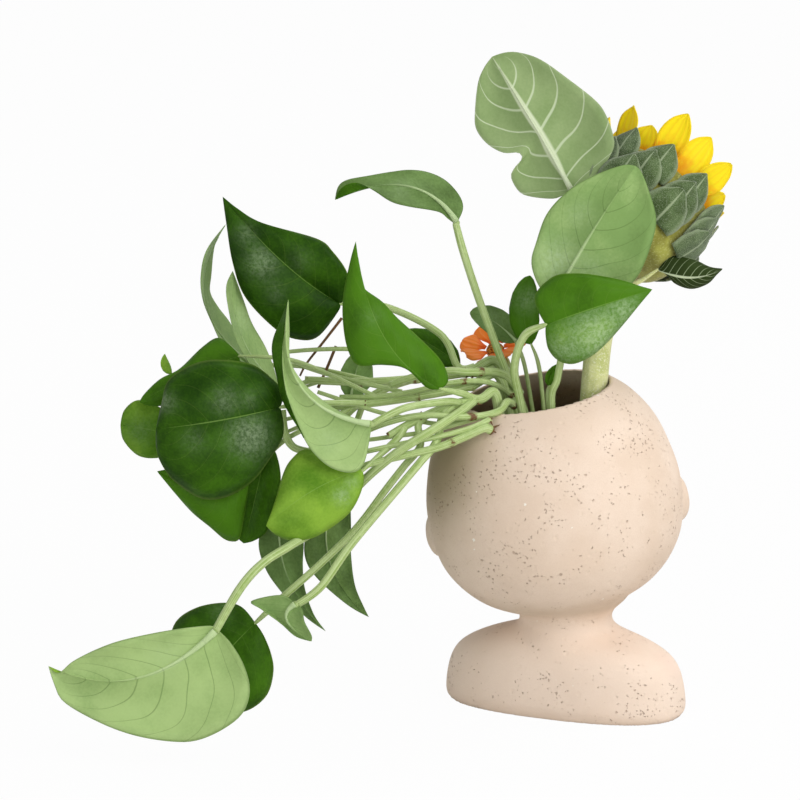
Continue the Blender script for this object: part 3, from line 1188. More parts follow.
def to_space(pixels):
    """Points of an array of pixels with depth."""
    centre = np.array(HEAD_CENTRE)
    across = (pixels[..., 0:1] - HEAD_CENTRE_PX[0]) * PX * np.array(RIGHT)
    above = (HEAD_CENTRE_PX[1] - pixels[..., 1:2]) * PX * np.array(RISE)
    return centre + across + above + pixels[..., 2:3] * HEAD * np.array(TOWARD)


def stalk_line(spec, base):
    """Stalk from the mix, or from the skin of the vine that bears it, to the blade."""
    radius = spec["stalk_px"] * PX / 2
    points = [seen(*point) for point in spec["stalk"]]
    if "foot" in spec:
        low = foot(*spec["foot"])
        start = [low, Vector((low.x, low.y, MIX_TOP + GAP))]
    else:
        line, radii = vine_lines[spec["vine"][0]]
        place = spec["vine"][1] * (len(line) - 1)
        index = min(int(place), len(line) - 2)
        joint = line[index].lerp(line[index + 1], place - index)
        heading = (line[index + 1] - line[index]).normalized()
        outward = (points + [base])[0] - joint
        if outward.dot(heading) < 0:
            heading = -heading
        reach = min(4 * radius, outward.length * 0.3)
        outward = (outward - heading * outward.dot(heading)).normalized()
        start = [joint + outward * (radii[index] * 0.3), joint + (heading + outward * 0.7) * reach]
    line = curve(start + points + [base], 10)
    return [Vector(point) for point in line]


def folded_flap(skin, spec, rib, thick, finishes):
    """Part of a blade that is folded over beyond its left edge."""
    left = edge_rows(spec, "left", rib)
    outer = evenly(curve(spec["fold"], 8), ROWS)
    inner = left[np.linspace(ROWS * 0.45, ROWS - 1, ROWS).astype(int)]
    share = np.linspace(0, 1, 7)[None, :, None]
    flap = np.column_stack([outer, inner[:, 2] - 0.07])
    rows = inner[:, None, :] * (1 - share) + flap[:, None, :] * share
    blade(skin, to_space(rows), share[0, :, 0][None, :] * 0.9 + 0.1, thick, finishes, 0.2)


def underside(space, shows_top):
    """Way out of a blade's underside at each row of its midrib."""
    heading = np.gradient(space[:, COLUMNS], axis=0)
    over = np.gradient(space, axis=1)[:, COLUMNS]
    normal = np.cross(heading, over)
    normal /= np.maximum(np.linalg.norm(normal, axis=1, keepdims=True), 1e-12)
    if (normal @ np.array(TOWARD)).sum() < 0:
        normal = -normal
    return normal * (-1 if shows_top else 1)


def stalk_and_midrib(skin, spec, space):
    """Stalk of a leaf, and the midrib that it runs on into, raised on the underside."""
    shows_top = spec["shows"] == "top"
    below = underside(space, shows_top)
    radius = spec["stalk_px"] * PX / 2
    line = stalk_line(spec, Vector(space[0, COLUMNS]))
    rest = np.linspace(1, ROWS * 0.9, 22).astype(int)
    close = 0.5 if shows_top else 0.9
    radii = [radius * (1.12 - 0.12 * min(index / 6.0, 1.0))
             * (1 - (1 - close) * max(0.0, 1 - (len(line) - 1 - index) / 8.0)) for index in range(len(line))]
    thinning = []
    for step in range(len(rest)):
        thin = radius * close * (1 - 0.55 * min(step * 3.0 / len(rest), 1.0)) * (1 - 0.7 * step / len(rest))
        thinning.append(max(thin, 0.25 * MM))
    sunk = 0.95 if shows_top else 0.75
    ridge = [Vector(space[row, COLUMNS] + below[row] * (thin * sunk)) for row, thin in zip(rest, thinning)]
    tube(skin, line + ridge[:1], radii + thinning[:1], 12, 2, ridge=0.05, ridges=2)
    rib_skin = Skin()
    tube(rib_skin, ridge, thinning, 10, 1)
    rib_places = [(along * 0.9, 0.0, spec["tone"]) for along, _, _ in rib_skin.places]
    skin.add(rib_skin.points, rib_skin.faces, 1, rib_places)


def make_leaf(name, spec, finishes, body, slot, number, thick=0.55 * MM, nodes=()):
    """One leaf: a blade that thins to its edge, its midrib and its stalk."""
    rib, grid, place = blade_grid(spec, random.Random(100 + number))
    space = to_space(grid)
    skin = Skin()
    sides = [0, 1] if spec["shows"] == "top" else [1, 0]
    edge_thin = thick * (1 - 0.55 * place[0] ** 4)
    tone = patches(grid, spec["tone"], spec.get("shades", ()))
    sheen = patches(grid, 0.0, spec.get("sheens", ()))
    blade(skin, space, place, edge_thin[None, :], sides, tone, sheen=sheen)
    if "fold" in spec:
        folded_flap(skin, spec, rib, thick, sides[::-1])
    stalk_and_midrib(skin, spec, space)
    skin.piece(name.replace("leaf", "blade"), finishes, body, slot, *nodes)


def make_vine(name, spec, finish):
    """Jointed stem with swollen joints, brown root stubs and a cut end."""
    low = foot(*spec["foot"])
    corners = [Vector((low.x, low.y, MIX_TOP + GAP))] + [seen(*point) for point in spec["route"]]
    coarse = [low] + [Vector(point) for point in curve(corners, 2)]
    vine_lines[name] = (coarse, [VINE_RADIUS * (1 - (1 - VINE_TAPER) * index / len(coarse))
                                 for index in range(len(coarse))])
    line = [low] + [Vector(point) for point in curve(corners, 16)]
    radii, age = [], []
    for index in range(len(line)):
        share = index / (len(line) - 1)
        radius = VINE_RADIUS * (1 - (1 - VINE_TAPER) * share)
        close = min(abs(share - place) for place in spec["nodes"])
        swell = max(0.0, 1 - (close / 0.02) ** 2)
        radii.append(radius * (1 + 0.16 * swell))
        age.append(max(0.75 * max(0.0, 1 - close / 0.012), 0.5 if share > 0.985 else 0.0))
    skin = Skin()
    tube(skin, line, radii, 16, 0, age, ridge=0.03, ridges=3)
    dice = random.Random(len(name))
    for place in spec["nodes"]:
        index = int(place * (len(line) - 1))
        heading = (line[index + 1] - line[index]).normalized()
        for _ in range(2):
            out = Vector([dice.uniform(-1, 1) for _ in range(3)])
            out = (out - heading * out.dot(heading)).normalized()
            start = line[index] + out * (radii[index] * 0.7)
            stub = [start + (out + heading * dice.uniform(-0.5, 0.2)) * (step * 0.7 * MM)
                    for step in range(4)]
            tube(skin, stub, [0.7 * MM, 0.6 * MM, 0.45 * MM, 0.2 * MM], 8, 0, [1.0] * 4)
    skin.piece(name.replace("vine", "stem"), [finish], "pothos", "pothos_stem", name)


def make_loose_stems(finish):
    """Stems and stalks of the bundle that no node stands for, with brown ends and joints."""
    skin, dice = Skin(), random.Random(21)
    for wide, thin, age, route in LOOSE_STEMS:
        line = [Vector(point) for point in curve([seen(*point) for point in route], 10)]
        shares = np.linspace(0, 1, len(line))
        radii, ages = [], []
        for share in shares:
            joint = max(0.0, 1 - (abs(share - 0.42) / 0.03) ** 2) if len(route) > 6 else 0.0
            radii.append((wide + (thin - wide) * share) * PX / 2 * (1 + 0.15 * joint))
            ages.append(max(age * max(0.0, 1 - share / 0.09), 0.7 * joint, 1.0 if wide < 4 else 0.0))
        tube(skin, line, radii, 14, 0, ages, ridge=0.04, ridges=3)
        if age > 0.5 and wide > 5:
            for _ in range(3):
                start = line[1] + Vector([dice.uniform(-1, 1) * MM for _ in range(3)])
                out = Vector([dice.uniform(-1, 1) for _ in range(3)]) + RIGHT * 0.6 - RISE * 0.3
                root = [start + out * (step * 1.0 * MM) for step in range(5)]
                tube(skin, root, [0.7 * MM, 0.6 * MM, 0.5 * MM, 0.35 * MM, 0.15 * MM], 8, 0, [1.0] * 5)
    skin.piece("stems_loose", [finish], "pothos", "pothos_stem")


# The sunflower faces up to the right and away from the viewer.
SUN_FACING = (RIGHT * 0.56 + RISE * 0.70 - TOWARD * 0.44).normalized()
SUN_BOWL = 45.0 * MM
SUN_RADIUS = 35.0 * MM
SUN_BASE = seen(655, 190, -0.12) - SUN_FACING * SUN_BOWL
SUN_PLACE = Matrix.Translation(SUN_BASE) @ UP.rotation_difference(SUN_FACING).to_matrix().to_4x4()
SUN_STEM = 7.2 * MM
SUN_BOWL_SHARES = [(0.0, 0.0), (0.55, 0.0), (0.82, 0.05), (0.95, 0.15), (1.02, 0.32), (1.04, 0.55),
                   (1.03, 0.80), (1.0, 1.0)]
# Start along the bowl, how many, turn in bract widths, share of the room filled, and slope.
BRACT_RINGS = [(0.52, 8, 0.0, 0.98, 0.30), (0.66, 9, 0.5, 0.98, 0.23), (0.79, 10, 0.0, 0.96, 0.22)]
BRACT_LENGTH = 23.0 * MM
BRACT_WIDTHS = [(0.0, 0.86), (0.30, 1.0), (0.60, 0.84), (0.84, 0.42), (1.0, 0.04)]
PETALS = 15
PETAL_LENGTH = 30.0 * MM
PETAL_WIDTHS = [(0.0, 0.55), (0.25, 0.92), (0.52, 1.0), (0.78, 0.74), (0.93, 0.34), (1.0, 0.06)]
PETAL_REACHES = (1.0, 0.6, 0.82, 0.52, 1.0, 0.92, 0.86, 0.5, 0.45, 0.5, 0.6, 0.78, 0.95, 0.86, 0.9)
PETAL_TURN = 0.35
PETAL_RISES = (1.85, 2.4, 2.0, 3.0)
ORANGE_FACING = (RISE * 0.75 + TOWARD * 0.55 - RIGHT * 0.20).normalized()
ORANGE_PLACE = (Matrix.Translation(seen(497, 356, -0.44))
                @ UP.rotation_difference(ORANGE_FACING).to_matrix().to_4x4())
ORANGE_RADIUS = 19.0 * MM
ORANGE_HEART = ORANGE_RADIUS * 0.26
ORANGE_WIDTHS = [(0.0, 0.40), (0.35, 0.92), (0.68, 1.0), (0.90, 0.70), (1.0, 0.30)]
ORANGE_PETALS = 7
GOLDEN_ANGLE = math.radians(137.508)
SUN_STEM_ROUTE = [(594, 386, 0.20), (598, 345, 0.20), (604, 305, 0.19)]
# The disc between the petals: (radius, height) shares of its radius and dome, and florets.
DISC_SHARES = [(0.0, 0.96), (0.30, 0.94), (0.66, 0.80), (0.97, 0.42), (1.0, 0.10)]
DISC_RADIUS = SUN_RADIUS * 0.86
DISC_DOME = SUN_RADIUS * 0.24
FLORETS = 260


def bowl_at(share):
    """Radius and height of the bowl a share of the way along its outline."""
    place = share * (len(SUN_BOWL_SHARES) - 1)
    index = min(int(place), len(SUN_BOWL_SHARES) - 2)
    low, high, way = SUN_BOWL_SHARES[index], SUN_BOWL_SHARES[index + 1], place - index
    return (low[0] + (high[0] - low[0]) * way) * SUN_RADIUS, (low[1] + (high[1] - low[1]) * way) * SUN_BOWL


def along_bowl(start, reach):
    """Radius, height and slope a given way along the bowl's skin, then straight on."""
    share, travelled, slope = start, 0.0, (0.0, 1.0)
    radius, height = bowl_at(share)
    while travelled < reach and share < 0.99:
        share += 0.01
        new_radius, new_height = bowl_at(share)
        length = math.hypot(new_radius - radius, new_height - height)
        slope = ((new_radius - radius) / length, (new_height - height) / length)
        travelled += length
        radius, height = new_radius, new_height
    rest = max(reach - travelled, 0.0)
    return radius + slope[0] * rest, height + slope[1] * rest, slope


def scale_grid(stations, widths, columns, crown, ridges=0.0, edge_wave=0.0, phase=0.0):
    """Grid of a scale or petal through (centre, along, over) stations."""
    t = np.linspace(-1, 1, columns)
    rows = []
    for index, ((centre, along, over), width) in enumerate(zip(stations, widths)):
        side = over.cross(along)
        share = index / (len(stations) - 1)
        lift = -crown * width * t ** 2 + ridges * np.cos(t * 3.0 * math.pi)
        lift = lift + edge_wave * share * t ** 2 * np.sin(phase + 9 * share + 2.5 * np.sign(t))
        rows.append([np.array(centre + side * (width * place) + over * height)
                     for place, height in zip(t, lift)])
    return np.array(rows), t[None, :]


def widths_at(table, count):
    """Width shares from a table, evenly apart along the length."""
    shares = np.array(table)
    line = curve([tuple(pair) for pair in shares], 8)
    return np.interp(np.linspace(0, 1, count), line[:, 0], line[:, 1])


def bract_skin(index, dice):
    """One ring of bracts, which lie along the bowl and lift at their tips."""
    start, count, offset, width_share, stand_off = BRACT_RINGS[index]
    start_radius = bowl_at(start)[0]
    skin = Skin()
    turn_out = SUN_PLACE.to_3x3()
    for number in range(count):
        angle = 2 * math.pi * (number + offset) / count
        outward = Vector((math.cos(angle), math.sin(angle), 0))
        stations, widths = [], []
        for share, width in zip(np.linspace(0, 1, 18), widths_at(BRACT_WIDTHS, 18)):
            reach = share * BRACT_LENGTH
            radius, height, slope = along_bowl(start, reach)
            along = outward * slope[0] + UP * slope[1]
            over = outward * slope[1] - UP * slope[0]
            half = math.pi * max(start_radius, radius * 0.9) / count * width_share * width
            lift = GAP + 0.45 * MM + half * 0.16 + reach * stand_off + dice.uniform(-0.05, 0.05) * MM
            stations.append((SUN_PLACE @ (outward * radius + UP * height + over * lift), turn_out @ along,
                             turn_out @ over))
            widths.append(half)
        grid, across = scale_grid(stations, widths, 13, 0.16, edge_wave=0.5 * MM, phase=dice.uniform(0, 6))
        blade(skin, grid, across, 0.9 * MM, [0, 0], 1.0)
    return skin


def petal_skin(count, length, reaches, rises, start, widths, half_width, dice, ruffle, turn=0.0):
    """Ring of petals round an axis, in the flower's own frame, from a (radius, height)."""
    skin = Skin()
    shares = np.linspace(0, 1, 20)
    for number in range(count):
        angle = 2 * math.pi * (number + turn) / count
        outward = Vector((math.cos(angle), math.sin(angle), 0))
        reach = length * reaches[number % len(reaches)]
        rise = rises[(number * 3) % len(rises)]
        along = (outward + UP * rise).normalized()
        over = (UP - outward * rise).normalized()
        bend = dice.uniform(-0.10, 0.04) * reach
        stations = []
        for share in shares:
            root = outward * start[0] + UP * start[1]
            stations.append((root + along * (reach * share) + over * (bend * share ** 2), along, over))
        table = widths_at(widths, 20) * np.array([half_width(share) for share in shares])
        grid, across = scale_grid(stations, table, 13, 0.18, 0.22 * MM, ruffle, dice.uniform(0, 6))
        blade(skin, grid, across, 0.5 * MM, [0, 0], 0.0, front=UP)
    return skin


def placed(skin, matrix):
    """The skin, moved to its place."""
    skin.points = [tuple(matrix @ Vector(point)) for point in skin.points]
    return skin


# Settings that a user would change.

def colour_setting(label, text, code):
    """Colour that a user can change."""
    return bpy.props.FloatVectorProperty(name=label, description=text, subtype="COLOR", size=3, min=0.0,
                                         max=1.0, default=linear(code))


def power_setting(label, text, power):
    """Power of a lamp that a user can change."""
    return bpy.props.FloatProperty(name=label, description=text, default=power, min=0.0, unit="POWER")


class PotSettings(bpy.types.PropertyGroup):
    """Finish of the cast pot."""
    clay: colour_setting("Clay", "Colour of the cast body", "#e6cfb9")
    clay_pale: colour_setting("Pale clay", "Colour of its paler clouds", "#efdac6")
    pit_colour: colour_setting("Pits", "Colour in the bottom of the pits", "#b58c69")
    pit_spacing: bpy.props.FloatProperty(name="Pit spacing", description="Way from one small pit to the next",
                                         default=1.7 * MM, min=1 * MM, unit="LENGTH")
    dent_count: bpy.props.IntProperty(name="Dents", description="Number of the larger pits", default=420,
                                      min=0)
    dent_depth: bpy.props.FloatProperty(name="Dent depth", description="Depth of the larger pits",
                                        default=0.7 * MM, min=0.0, unit="LENGTH")


class LeafSettings(bpy.types.PropertyGroup):
    """Greens of the pothos."""
    top_dark: colour_setting("Dark top", "Upper side of an old leaf in shade", "#1c3b07")
    top_mid: colour_setting("Middle top", "Upper side of a grown leaf", "#4b7a18")
    top_light: colour_setting("Light top", "Upper side of a young leaf", "#90b840")
    under_dark: colour_setting("Dark underside", "Underside of a leaf in shade", "#3d5620")
    under_mid: colour_setting("Middle underside", "Underside of a grown leaf", "#7c9c58")
    under_light: colour_setting("Light underside", "Underside of a young leaf", "#abc57f")
    sheen: colour_setting("Sheen", "Soft pale patches where the wax shines", "#b9cfa4")
    stem: colour_setting("Stems", "Fresh stems and stalks", "#90ab57")
    stem_pale: colour_setting("Pale stems", "Streaks on stems and stalks", "#c3d597")


class FlowerSettings(bpy.types.PropertyGroup):
    """Colours of the two flowers."""
    yellow: colour_setting("Yellow petals", "Sunflower petals", "#fff02a")
    orange: colour_setting("Orange petals", "Petals of the small flower", "#ffac4c")
    green: colour_setting("Downy green", "Bracts under the sunflower", "#52683a")


class LightSettings(bpy.types.PropertyGroup):
    """Studio light."""
    key: power_setting("Key lamp", "Power of the large lamp on the right", 14.3)
    fill: power_setting("Fill lamp", "Power of the lamp on the left", 1.0)
    low: power_setting("Low lamp", "Power of the lamp low in front", 4.0)
    top: power_setting("Top lamp", "Power of the lamp overhead", 9.0)
    room: bpy.props.FloatProperty(name="Room light", description="Strength of the light from all round",
                                  default=0.38, min=0.0, subtype="FACTOR")


def pothos_finishes(settings):
    """Waxy pothos leaf, top and underside, and its smooth stalk; made once and kept."""
    found = bpy.data.materials.get("pothos_leaf_top_waxy")
    if found:
        return [found, bpy.data.materials["pothos_leaf_underside"], bpy.data.materials["pothos_stem_fresh"]]
    # The waxy upper skin is smooth and deep green, with soft pale patches of sheen.
    top = leaf_finish("pothos_leaf_top_waxy", (settings.top_dark, settings.top_mid, settings.top_light),
                      linear("#9dbb58"), linear("#8fb35a"), settings.sheen, 0.38, (8.0, 0.36, 0.030), 0.06,
                      (0.012, 1.6, 0.40), 0.20, 0.06)
    # The underside is matt and pale, and its side veins look darker than the tissue.
    greens = (settings.under_dark, settings.under_mid, settings.under_light)
    under = leaf_finish("pothos_leaf_underside", greens, linear("#4d6a2c"), linear("#c9dda8"), settings.sheen,
                        0.6, (7.0, 0.42, 0.026), 0.42, (0.045, 0.75, 0.7), 0.40)
    stem = stem_finish("pothos_stem_fresh", settings.stem, settings.stem_pale, linear("#6b4a2a"), 0.45, 3.0)
    return [top, under, stem]


def seen_straight(tree):
    """One for rays from the camera, a mirror or glass, and nought for light that spreads."""
    path = node(tree, "ShaderNodeLightPath").outputs
    mirrored = reckon(tree, "MAXIMUM", path["Is Glossy Ray"], path["Is Transmission Ray"])
    return reckon(tree, "MAXIMUM", path["Is Camera Ray"], mirrored)


def studio_camera(scene):
    """Long lens behind the bust, square on the photograph's frame."""
    distance, frame_width, sensor = 12.0, FRAME_PX * PX, 36.0
    camera = bpy.data.objects.new("camera", bpy.data.cameras.new("camera"))
    camera.data.sensor_width = sensor
    camera.data.lens = sensor * distance / frame_width
    camera.data.clip_end = 100.0
    turn = Matrix((RIGHT, RISE, TOWARD)).transposed().to_4x4()
    target = seen(FRAME_PX / 2, FRAME_PX / 2, 0.0)
    camera.matrix_world = Matrix.Translation(target + TOWARD * distance) @ turn
    scene.collection.objects.link(camera)
    scene.camera = camera
    scene.view_settings.view_transform = "Standard"


def studio_room(scene, strength):
    """Soft light from all round, in front of white."""
    room = bpy.data.worlds.new("studio")
    room.use_nodes = True
    tree = room.node_tree
    tree.nodes.clear()
    soft = node(tree, "ShaderNodeBackground", {"Color": opaque(linear("#f4f6fa")), "Strength": strength})
    white = node(tree, "ShaderNodeBackground", {"Color": (1, 1, 1, 1), "Strength": 1.0})
    share = seen_straight(tree)
    both = node(tree, "ShaderNodeMixShader", {0: share, 1: soft.outputs[0], 2: white.outputs[0]})
    node(tree, "ShaderNodeOutputWorld", {0: both.outputs[0]})
    scene.world = room


def paper_floor(scene):
    """Round sheet of white paper, matt and bright enough to hide its edge."""
    paper = bpy.data.materials.new("paper_sweep_matt")
    paper.use_nodes = True
    tree = paper.node_tree
    tree.nodes.clear()
    matt = node(tree, "ShaderNodeBsdfDiffuse", {"Color": opaque(linear("#dddcd9"))})
    glow = node(tree, "ShaderNodeEmission", {"Color": (1, 1, 1, 1), "Strength": 1.0})
    share = reckon(tree, "MULTIPLY", seen_straight(tree), 0.97)
    both = node(tree, "ShaderNodeMixShader", {0: share, 1: matt.outputs[0], 2: glow.outputs[0]})
    node(tree, "ShaderNodeOutputMaterial", {0: both.outputs[0]})
    mesh = bpy.data.meshes.new("floor")
    reach, corners = 9.0, 48
    angles = [2 * math.pi * corner / corners for corner in range(corners)]
    edge = [(reach * math.cos(angle), reach * math.sin(angle), 0.0) for angle in angles]
    mesh.from_pydata(edge, [], [list(range(corners))])
    mesh.materials.append(paper)
    floor = bpy.data.objects.new("floor", mesh)
    scene.collection.objects.link(floor)


def studio_lamps(scene, lights):
    """Four large lamps round the head."""
    middle = HEAD_CENTRE + UP * 0.02
    for name, way, power, size in (
            ("key", RIGHT * 0.80 + RISE * 0.50 + TOWARD * 1.0, lights.key, 1.1),
            ("fill", RISE * 0.35 - RIGHT * 1.0 + TOWARD * 0.8, lights.fill, 1.2),
            ("low", TOWARD * 1.0 - RIGHT * 0.4 - RISE * 0.12, lights.low, 0.8),
            ("top", RISE * 1.0 + RIGHT * 0.4 - TOWARD * 0.2, lights.top, 1.2)):
        lamp = bpy.data.lights.new(name, "AREA")
        lamp.energy = power
        lamp.size = size
        made = bpy.data.objects.new(name, lamp)
        way = way.normalized()
        made.location = middle + way * 1.5
        made.rotation_euler = way.to_track_quat("Z", "Y").to_euler()
        scene.collection.objects.link(made)


class PLANTER_OT_stage(bpy.types.Operator):
    """Floor, lamps, room light and camera"""
    bl_idname = "planter.stage"
    bl_label = "Stage"

    def execute(self, context):
        lights = context.scene.planter_light
        studio_camera(context.scene)
        studio_room(context.scene, lights.room)
        paper_floor(context.scene)
        studio_lamps(context.scene, lights)
        return {"FINISHED"}


class PLANTER_OT_pot(bpy.types.Operator):
    """Cast pot: bust, neck and hollow head with its ears and face"""
    bl_idname = "planter.pot"
    bl_label = "Pot"

    def execute(self, context):
        settings = context.scene.planter_pot
        whole = pot_form()
        finish_pot(whole, settings)
        whole.name = "pot_cast_bust"
        whole.data.name = "pot_cast_bust"
        whole.data.materials.clear()
        whole.data.materials.append(cast_finish(settings))
        settle(whole, "planter", "cast_pot", "pot_shell")
        return {"FINISHED"}


CRUMBS = 420
CRUMB_REACH = 50 * MM


def crumbs_skin():
    """Loose crumbs strewn over the top of the potting mix."""
    dice = random.Random(3)
    skin = Skin()
    middle = (HEAD_CENTRE.x + 6 * MM, HEAD_CENTRE.y + 3 * MM)
    for _ in range(CRUMBS):
        angle, out = dice.uniform(0, 2 * math.pi), math.sqrt(dice.random()) * CRUMB_REACH
        size = dice.uniform(0.7, 2.4) * MM
        centre = Vector((middle[0] + out * math.cos(angle), middle[1] + out * math.sin(angle),
                         MIX_TOP + size * 0.25))
        work = bmesh.new()
        bmesh.ops.create_icosphere(work, subdivisions=1, radius=size)
        points = []
        for corner in work.verts:
            stretch = dice.uniform(0.6, 1.15)
            points.append(centre + Vector((corner.co.x * stretch, corner.co.y * stretch, corner.co.z * 0.6)))
        faces = [[corner.index for corner in face.verts] for face in work.faces]
        work.free()
        skin.add(points, faces, 0, [(0.0, 0.0, 0.0)] * len(points))
    return skin


class PLANTER_OT_mix(bpy.types.Operator):
    """Potting mix with loose crumbs, and the drain plug"""
    bl_idname = "planter.mix"
    bl_label = "Potting mix and plug"

    def execute(self, context):
        # Peat and bark, crumbled: nearly black when damp, with paler fibres.
        peat = grainy_finish("peat_mix_damp", linear("#1e120a"), linear("#4b331f"), 1.4, 0.95)
        # Rubber, moulded: dark and dull, with a fine grain from the mould.
        rubber = grainy_finish("rubber_moulded", linear("#1d1b1a"), linear("#2c2a28"), 0.5, 0.7, 1.52)
        for name, finish in (("potting_mix", peat), ("drain_plug", rubber)):
            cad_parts[name].data.materials.clear()
            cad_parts[name].data.materials.append(finish)
        crumbs_skin().piece("potting_mix_crumbs", [peat], "planter", "potting_mix")
        return {"FINISHED"}


class PLANTER_OT_vines(bpy.types.Operator):
    """The four jointed stems of the pothos"""
    bl_idname = "planter.vines"
    bl_label = "Pothos stems"

    def execute(self, context):
        stem = pothos_finishes(context.scene.planter_leaf)[2]
        for name, spec in VINES.items():
            make_vine(name, spec, stem)
        make_loose_stems(stem)
        return {"FINISHED"}


class PLANTER_OT_leaves(bpy.types.Operator):
    """The leaves of the pothos with their stalks"""
    bl_idname = "planter.leaves"
    bl_label = "Pothos leaves"

    def execute(self, context):
        finishes = pothos_finishes(context.scene.planter_leaf)
        for number, (name, spec) in enumerate(LEAVES.items()):
            make_leaf(name, spec, finishes, "pothos", "pothos_leaf", number, nodes=[name])
        for number, (name, spec) in enumerate(SPROUTS.items()):
            make_leaf(name, spec, finishes, "pothos", "pothos_leaf", 30 + number)
        return {"FINISHED"}


def sunflower_stem(finish):
    """Thick ridged stem from the mix to the foot of the bowl."""
    low = foot(588, 0.0)
    end = SUN_BASE - SUN_FACING * GAP
    approach = end - SUN_FACING * (2 * SUN_STEM)
    corners = [Vector((low.x, low.y, MIX_TOP + GAP))] + [seen(*point) for point in SUN_STEM_ROUTE]
    corners.append(approach)
    coarse = [low] + [Vector(point) for point in curve(corners, 2)] + [end]
    vine_lines["sunflower_stem"] = (coarse, [SUN_STEM] * len(coarse))
    line = [low] + [Vector(point) for point in curve(corners, 12)] + [end]
    skin = Skin()
    tube(skin, line, [SUN_STEM] * len(line), 48, 0, ridge=0.012, ridges=12)
    skin.places = [(along, 0.5, 0.0) for along, _, _ in skin.places]
    skin.piece("sun_stem", [finish], "sunflower", "flower_stem", "sunflower_stem")


def sunflower_bowl(finish):
    """Fleshy bowl that carries the bracts, the petals and the disc."""
    skin = Skin()
    outline = [(radius * SUN_RADIUS, height * SUN_BOWL) for radius, height in SUN_BOWL_SHARES[1:]]
    outline = [(0.0, 0.0)] + [tuple(point) for point in curve(outline, 5)] + [(0.0, SUN_BOWL)]
    turned(skin, outline, 64, SUN_PLACE)
    skin.places = [(0.0, 0.3, 0.0)] * len(skin.points)
    skin.piece("sun_bowl", [finish], "sunflower", "sunflower_green", "sunflower_bowl")


def sunflower_disc(finish):
    """Domed disc with its florets set out by the golden angle."""
    skin = Skin()
    dome = [(share * DISC_RADIUS, SUN_BOWL + DISC_DOME * height) for share, height in DISC_SHARES]
    outline = curve([(DISC_RADIUS, SUN_BOWL)] + dome[3:0:-1], 5)
    outline = [(0.0, SUN_BOWL)] + [tuple(point) for point in outline] + [dome[0]]
    turned(skin, outline, 64, Matrix.Identity(4))
    shares, heights = zip(*DISC_SHARES)
    for number in range(FLORETS):
        out = DISC_RADIUS * 0.97 * math.sqrt((number + 0.5) / FLORETS)
        angle = number * GOLDEN_ANGLE
        height = SUN_BOWL + DISC_DOME * np.interp(out / DISC_RADIUS, shares, heights)
        base = Vector((out * math.cos(angle), out * math.sin(angle), float(height)))
        lean = Vector((math.cos(angle), math.sin(angle), 0)) * (0.3 * out / DISC_RADIUS)
        floret = [base + (UP + lean) * (step * 0.5 * MM) for step in range(4)]
        tube(skin, floret, [0.9 * MM, 1.0 * MM, 0.8 * MM, 0.3 * MM], 6, 0)
    placed(skin, SUN_PLACE).piece("sun_disc", [finish], "sunflower", "sunflower_disc", "sunflower_disc")


def sunflower_leaves(stalk_finish):
    """Rough grey-green leaves, with strong pale veins on the underside."""
    top = leaf_finish("sunflower_leaf_top_rough", (linear("#26340f"), linear("#3f5524"), linear("#6c8448")),
                      linear("#a3b48a"), linear("#c2ceaa"), linear("#9fb08c"), 0.8, (9.0, 0.25, 0.06), 0.6,
                      (0.09, 1.2, 0.95), 0.5)
    greens = (linear("#5c7440"), linear("#829a62"), linear("#a2b680"))
    under = leaf_finish("sunflower_leaf_underside", greens, linear("#c6d4ae"), linear("#d5dfbc"),
                        linear("#b4c5a0"), 0.85, (6.0, 0.30, 0.05), 0.85, (0.085, 1.5, 1.0), 0.2)
    for number, (name, spec) in enumerate(SUNFLOWER_LEAVES.items()):
        make_leaf(name, spec, [top, under, stalk_finish], "sunflower", "sunflower_leaf", 50 + number,
                  0.7 * MM, [name])


class PLANTER_OT_sunflower(bpy.types.Operator):
    """Sunflower: stem, bowl, bracts, petals, florets and two leaves"""
    bl_idname = "planter.sunflower"
    bl_label = "Sunflower"

    def execute(self, context):
        settings = context.scene.planter_flower
        # Stiff white hairs stand on the stem and bracts, so that both look soft and grey.
        downy = downy_finish("sunflower_stem_downy", linear("#e0e2a0"), linear("#c4ca80"), linear("#f4f4d6"),
                             0.9, 0.7)
        bract = downy_finish("sunflower_bract_downy", settings.green, linear("#384d20"), linear("#bccaa4"),
                             0.35, 0.6)
        fleshy = downy_finish("sunflower_bowl_fleshy", linear("#a9a94c"), linear("#8c8a38"),
                              linear("#d6d88e"), 1.2, 0.4, 0.6)
        # Ray petals are satin, with two long furrows each.
        yellow = petal_finish("ray_petal_satin", settings.yellow, linear("#fcc01e"), linear("#fbd22a"), 0.5)
        florets = grainy_finish("disc_florets_dry", linear("#2f1d0c"), linear("#7a5a1c"), 1.0, 0.9)
        sunflower_stem(downy)
        sunflower_bowl(fleshy)
        dice = random.Random(11)
        for index in range(len(BRACT_RINGS)):
            ring = "bracts_%d" % (index + 1)
            bract_skin(index, dice).piece("sun_" + ring, [bract], "sunflower", "sunflower_green",
                                          "sunflower_" + ring)
        start = (SUN_RADIUS * 0.88, SUN_BOWL + 1.0 * MM)
        skin = petal_skin(PETALS, PETAL_LENGTH, PETAL_REACHES, PETAL_RISES, start, PETAL_WIDTHS,
                          lambda share: math.pi * SUN_RADIUS / PETALS * 1.20, dice, 0.8 * MM, PETAL_TURN)
        placed(skin, SUN_PLACE).piece("sun_petals", [yellow], "sunflower", "yellow_petal", "sunflower_petals")
        sunflower_disc(florets)
        sunflower_leaves(downy)
        return {"FINISHED"}


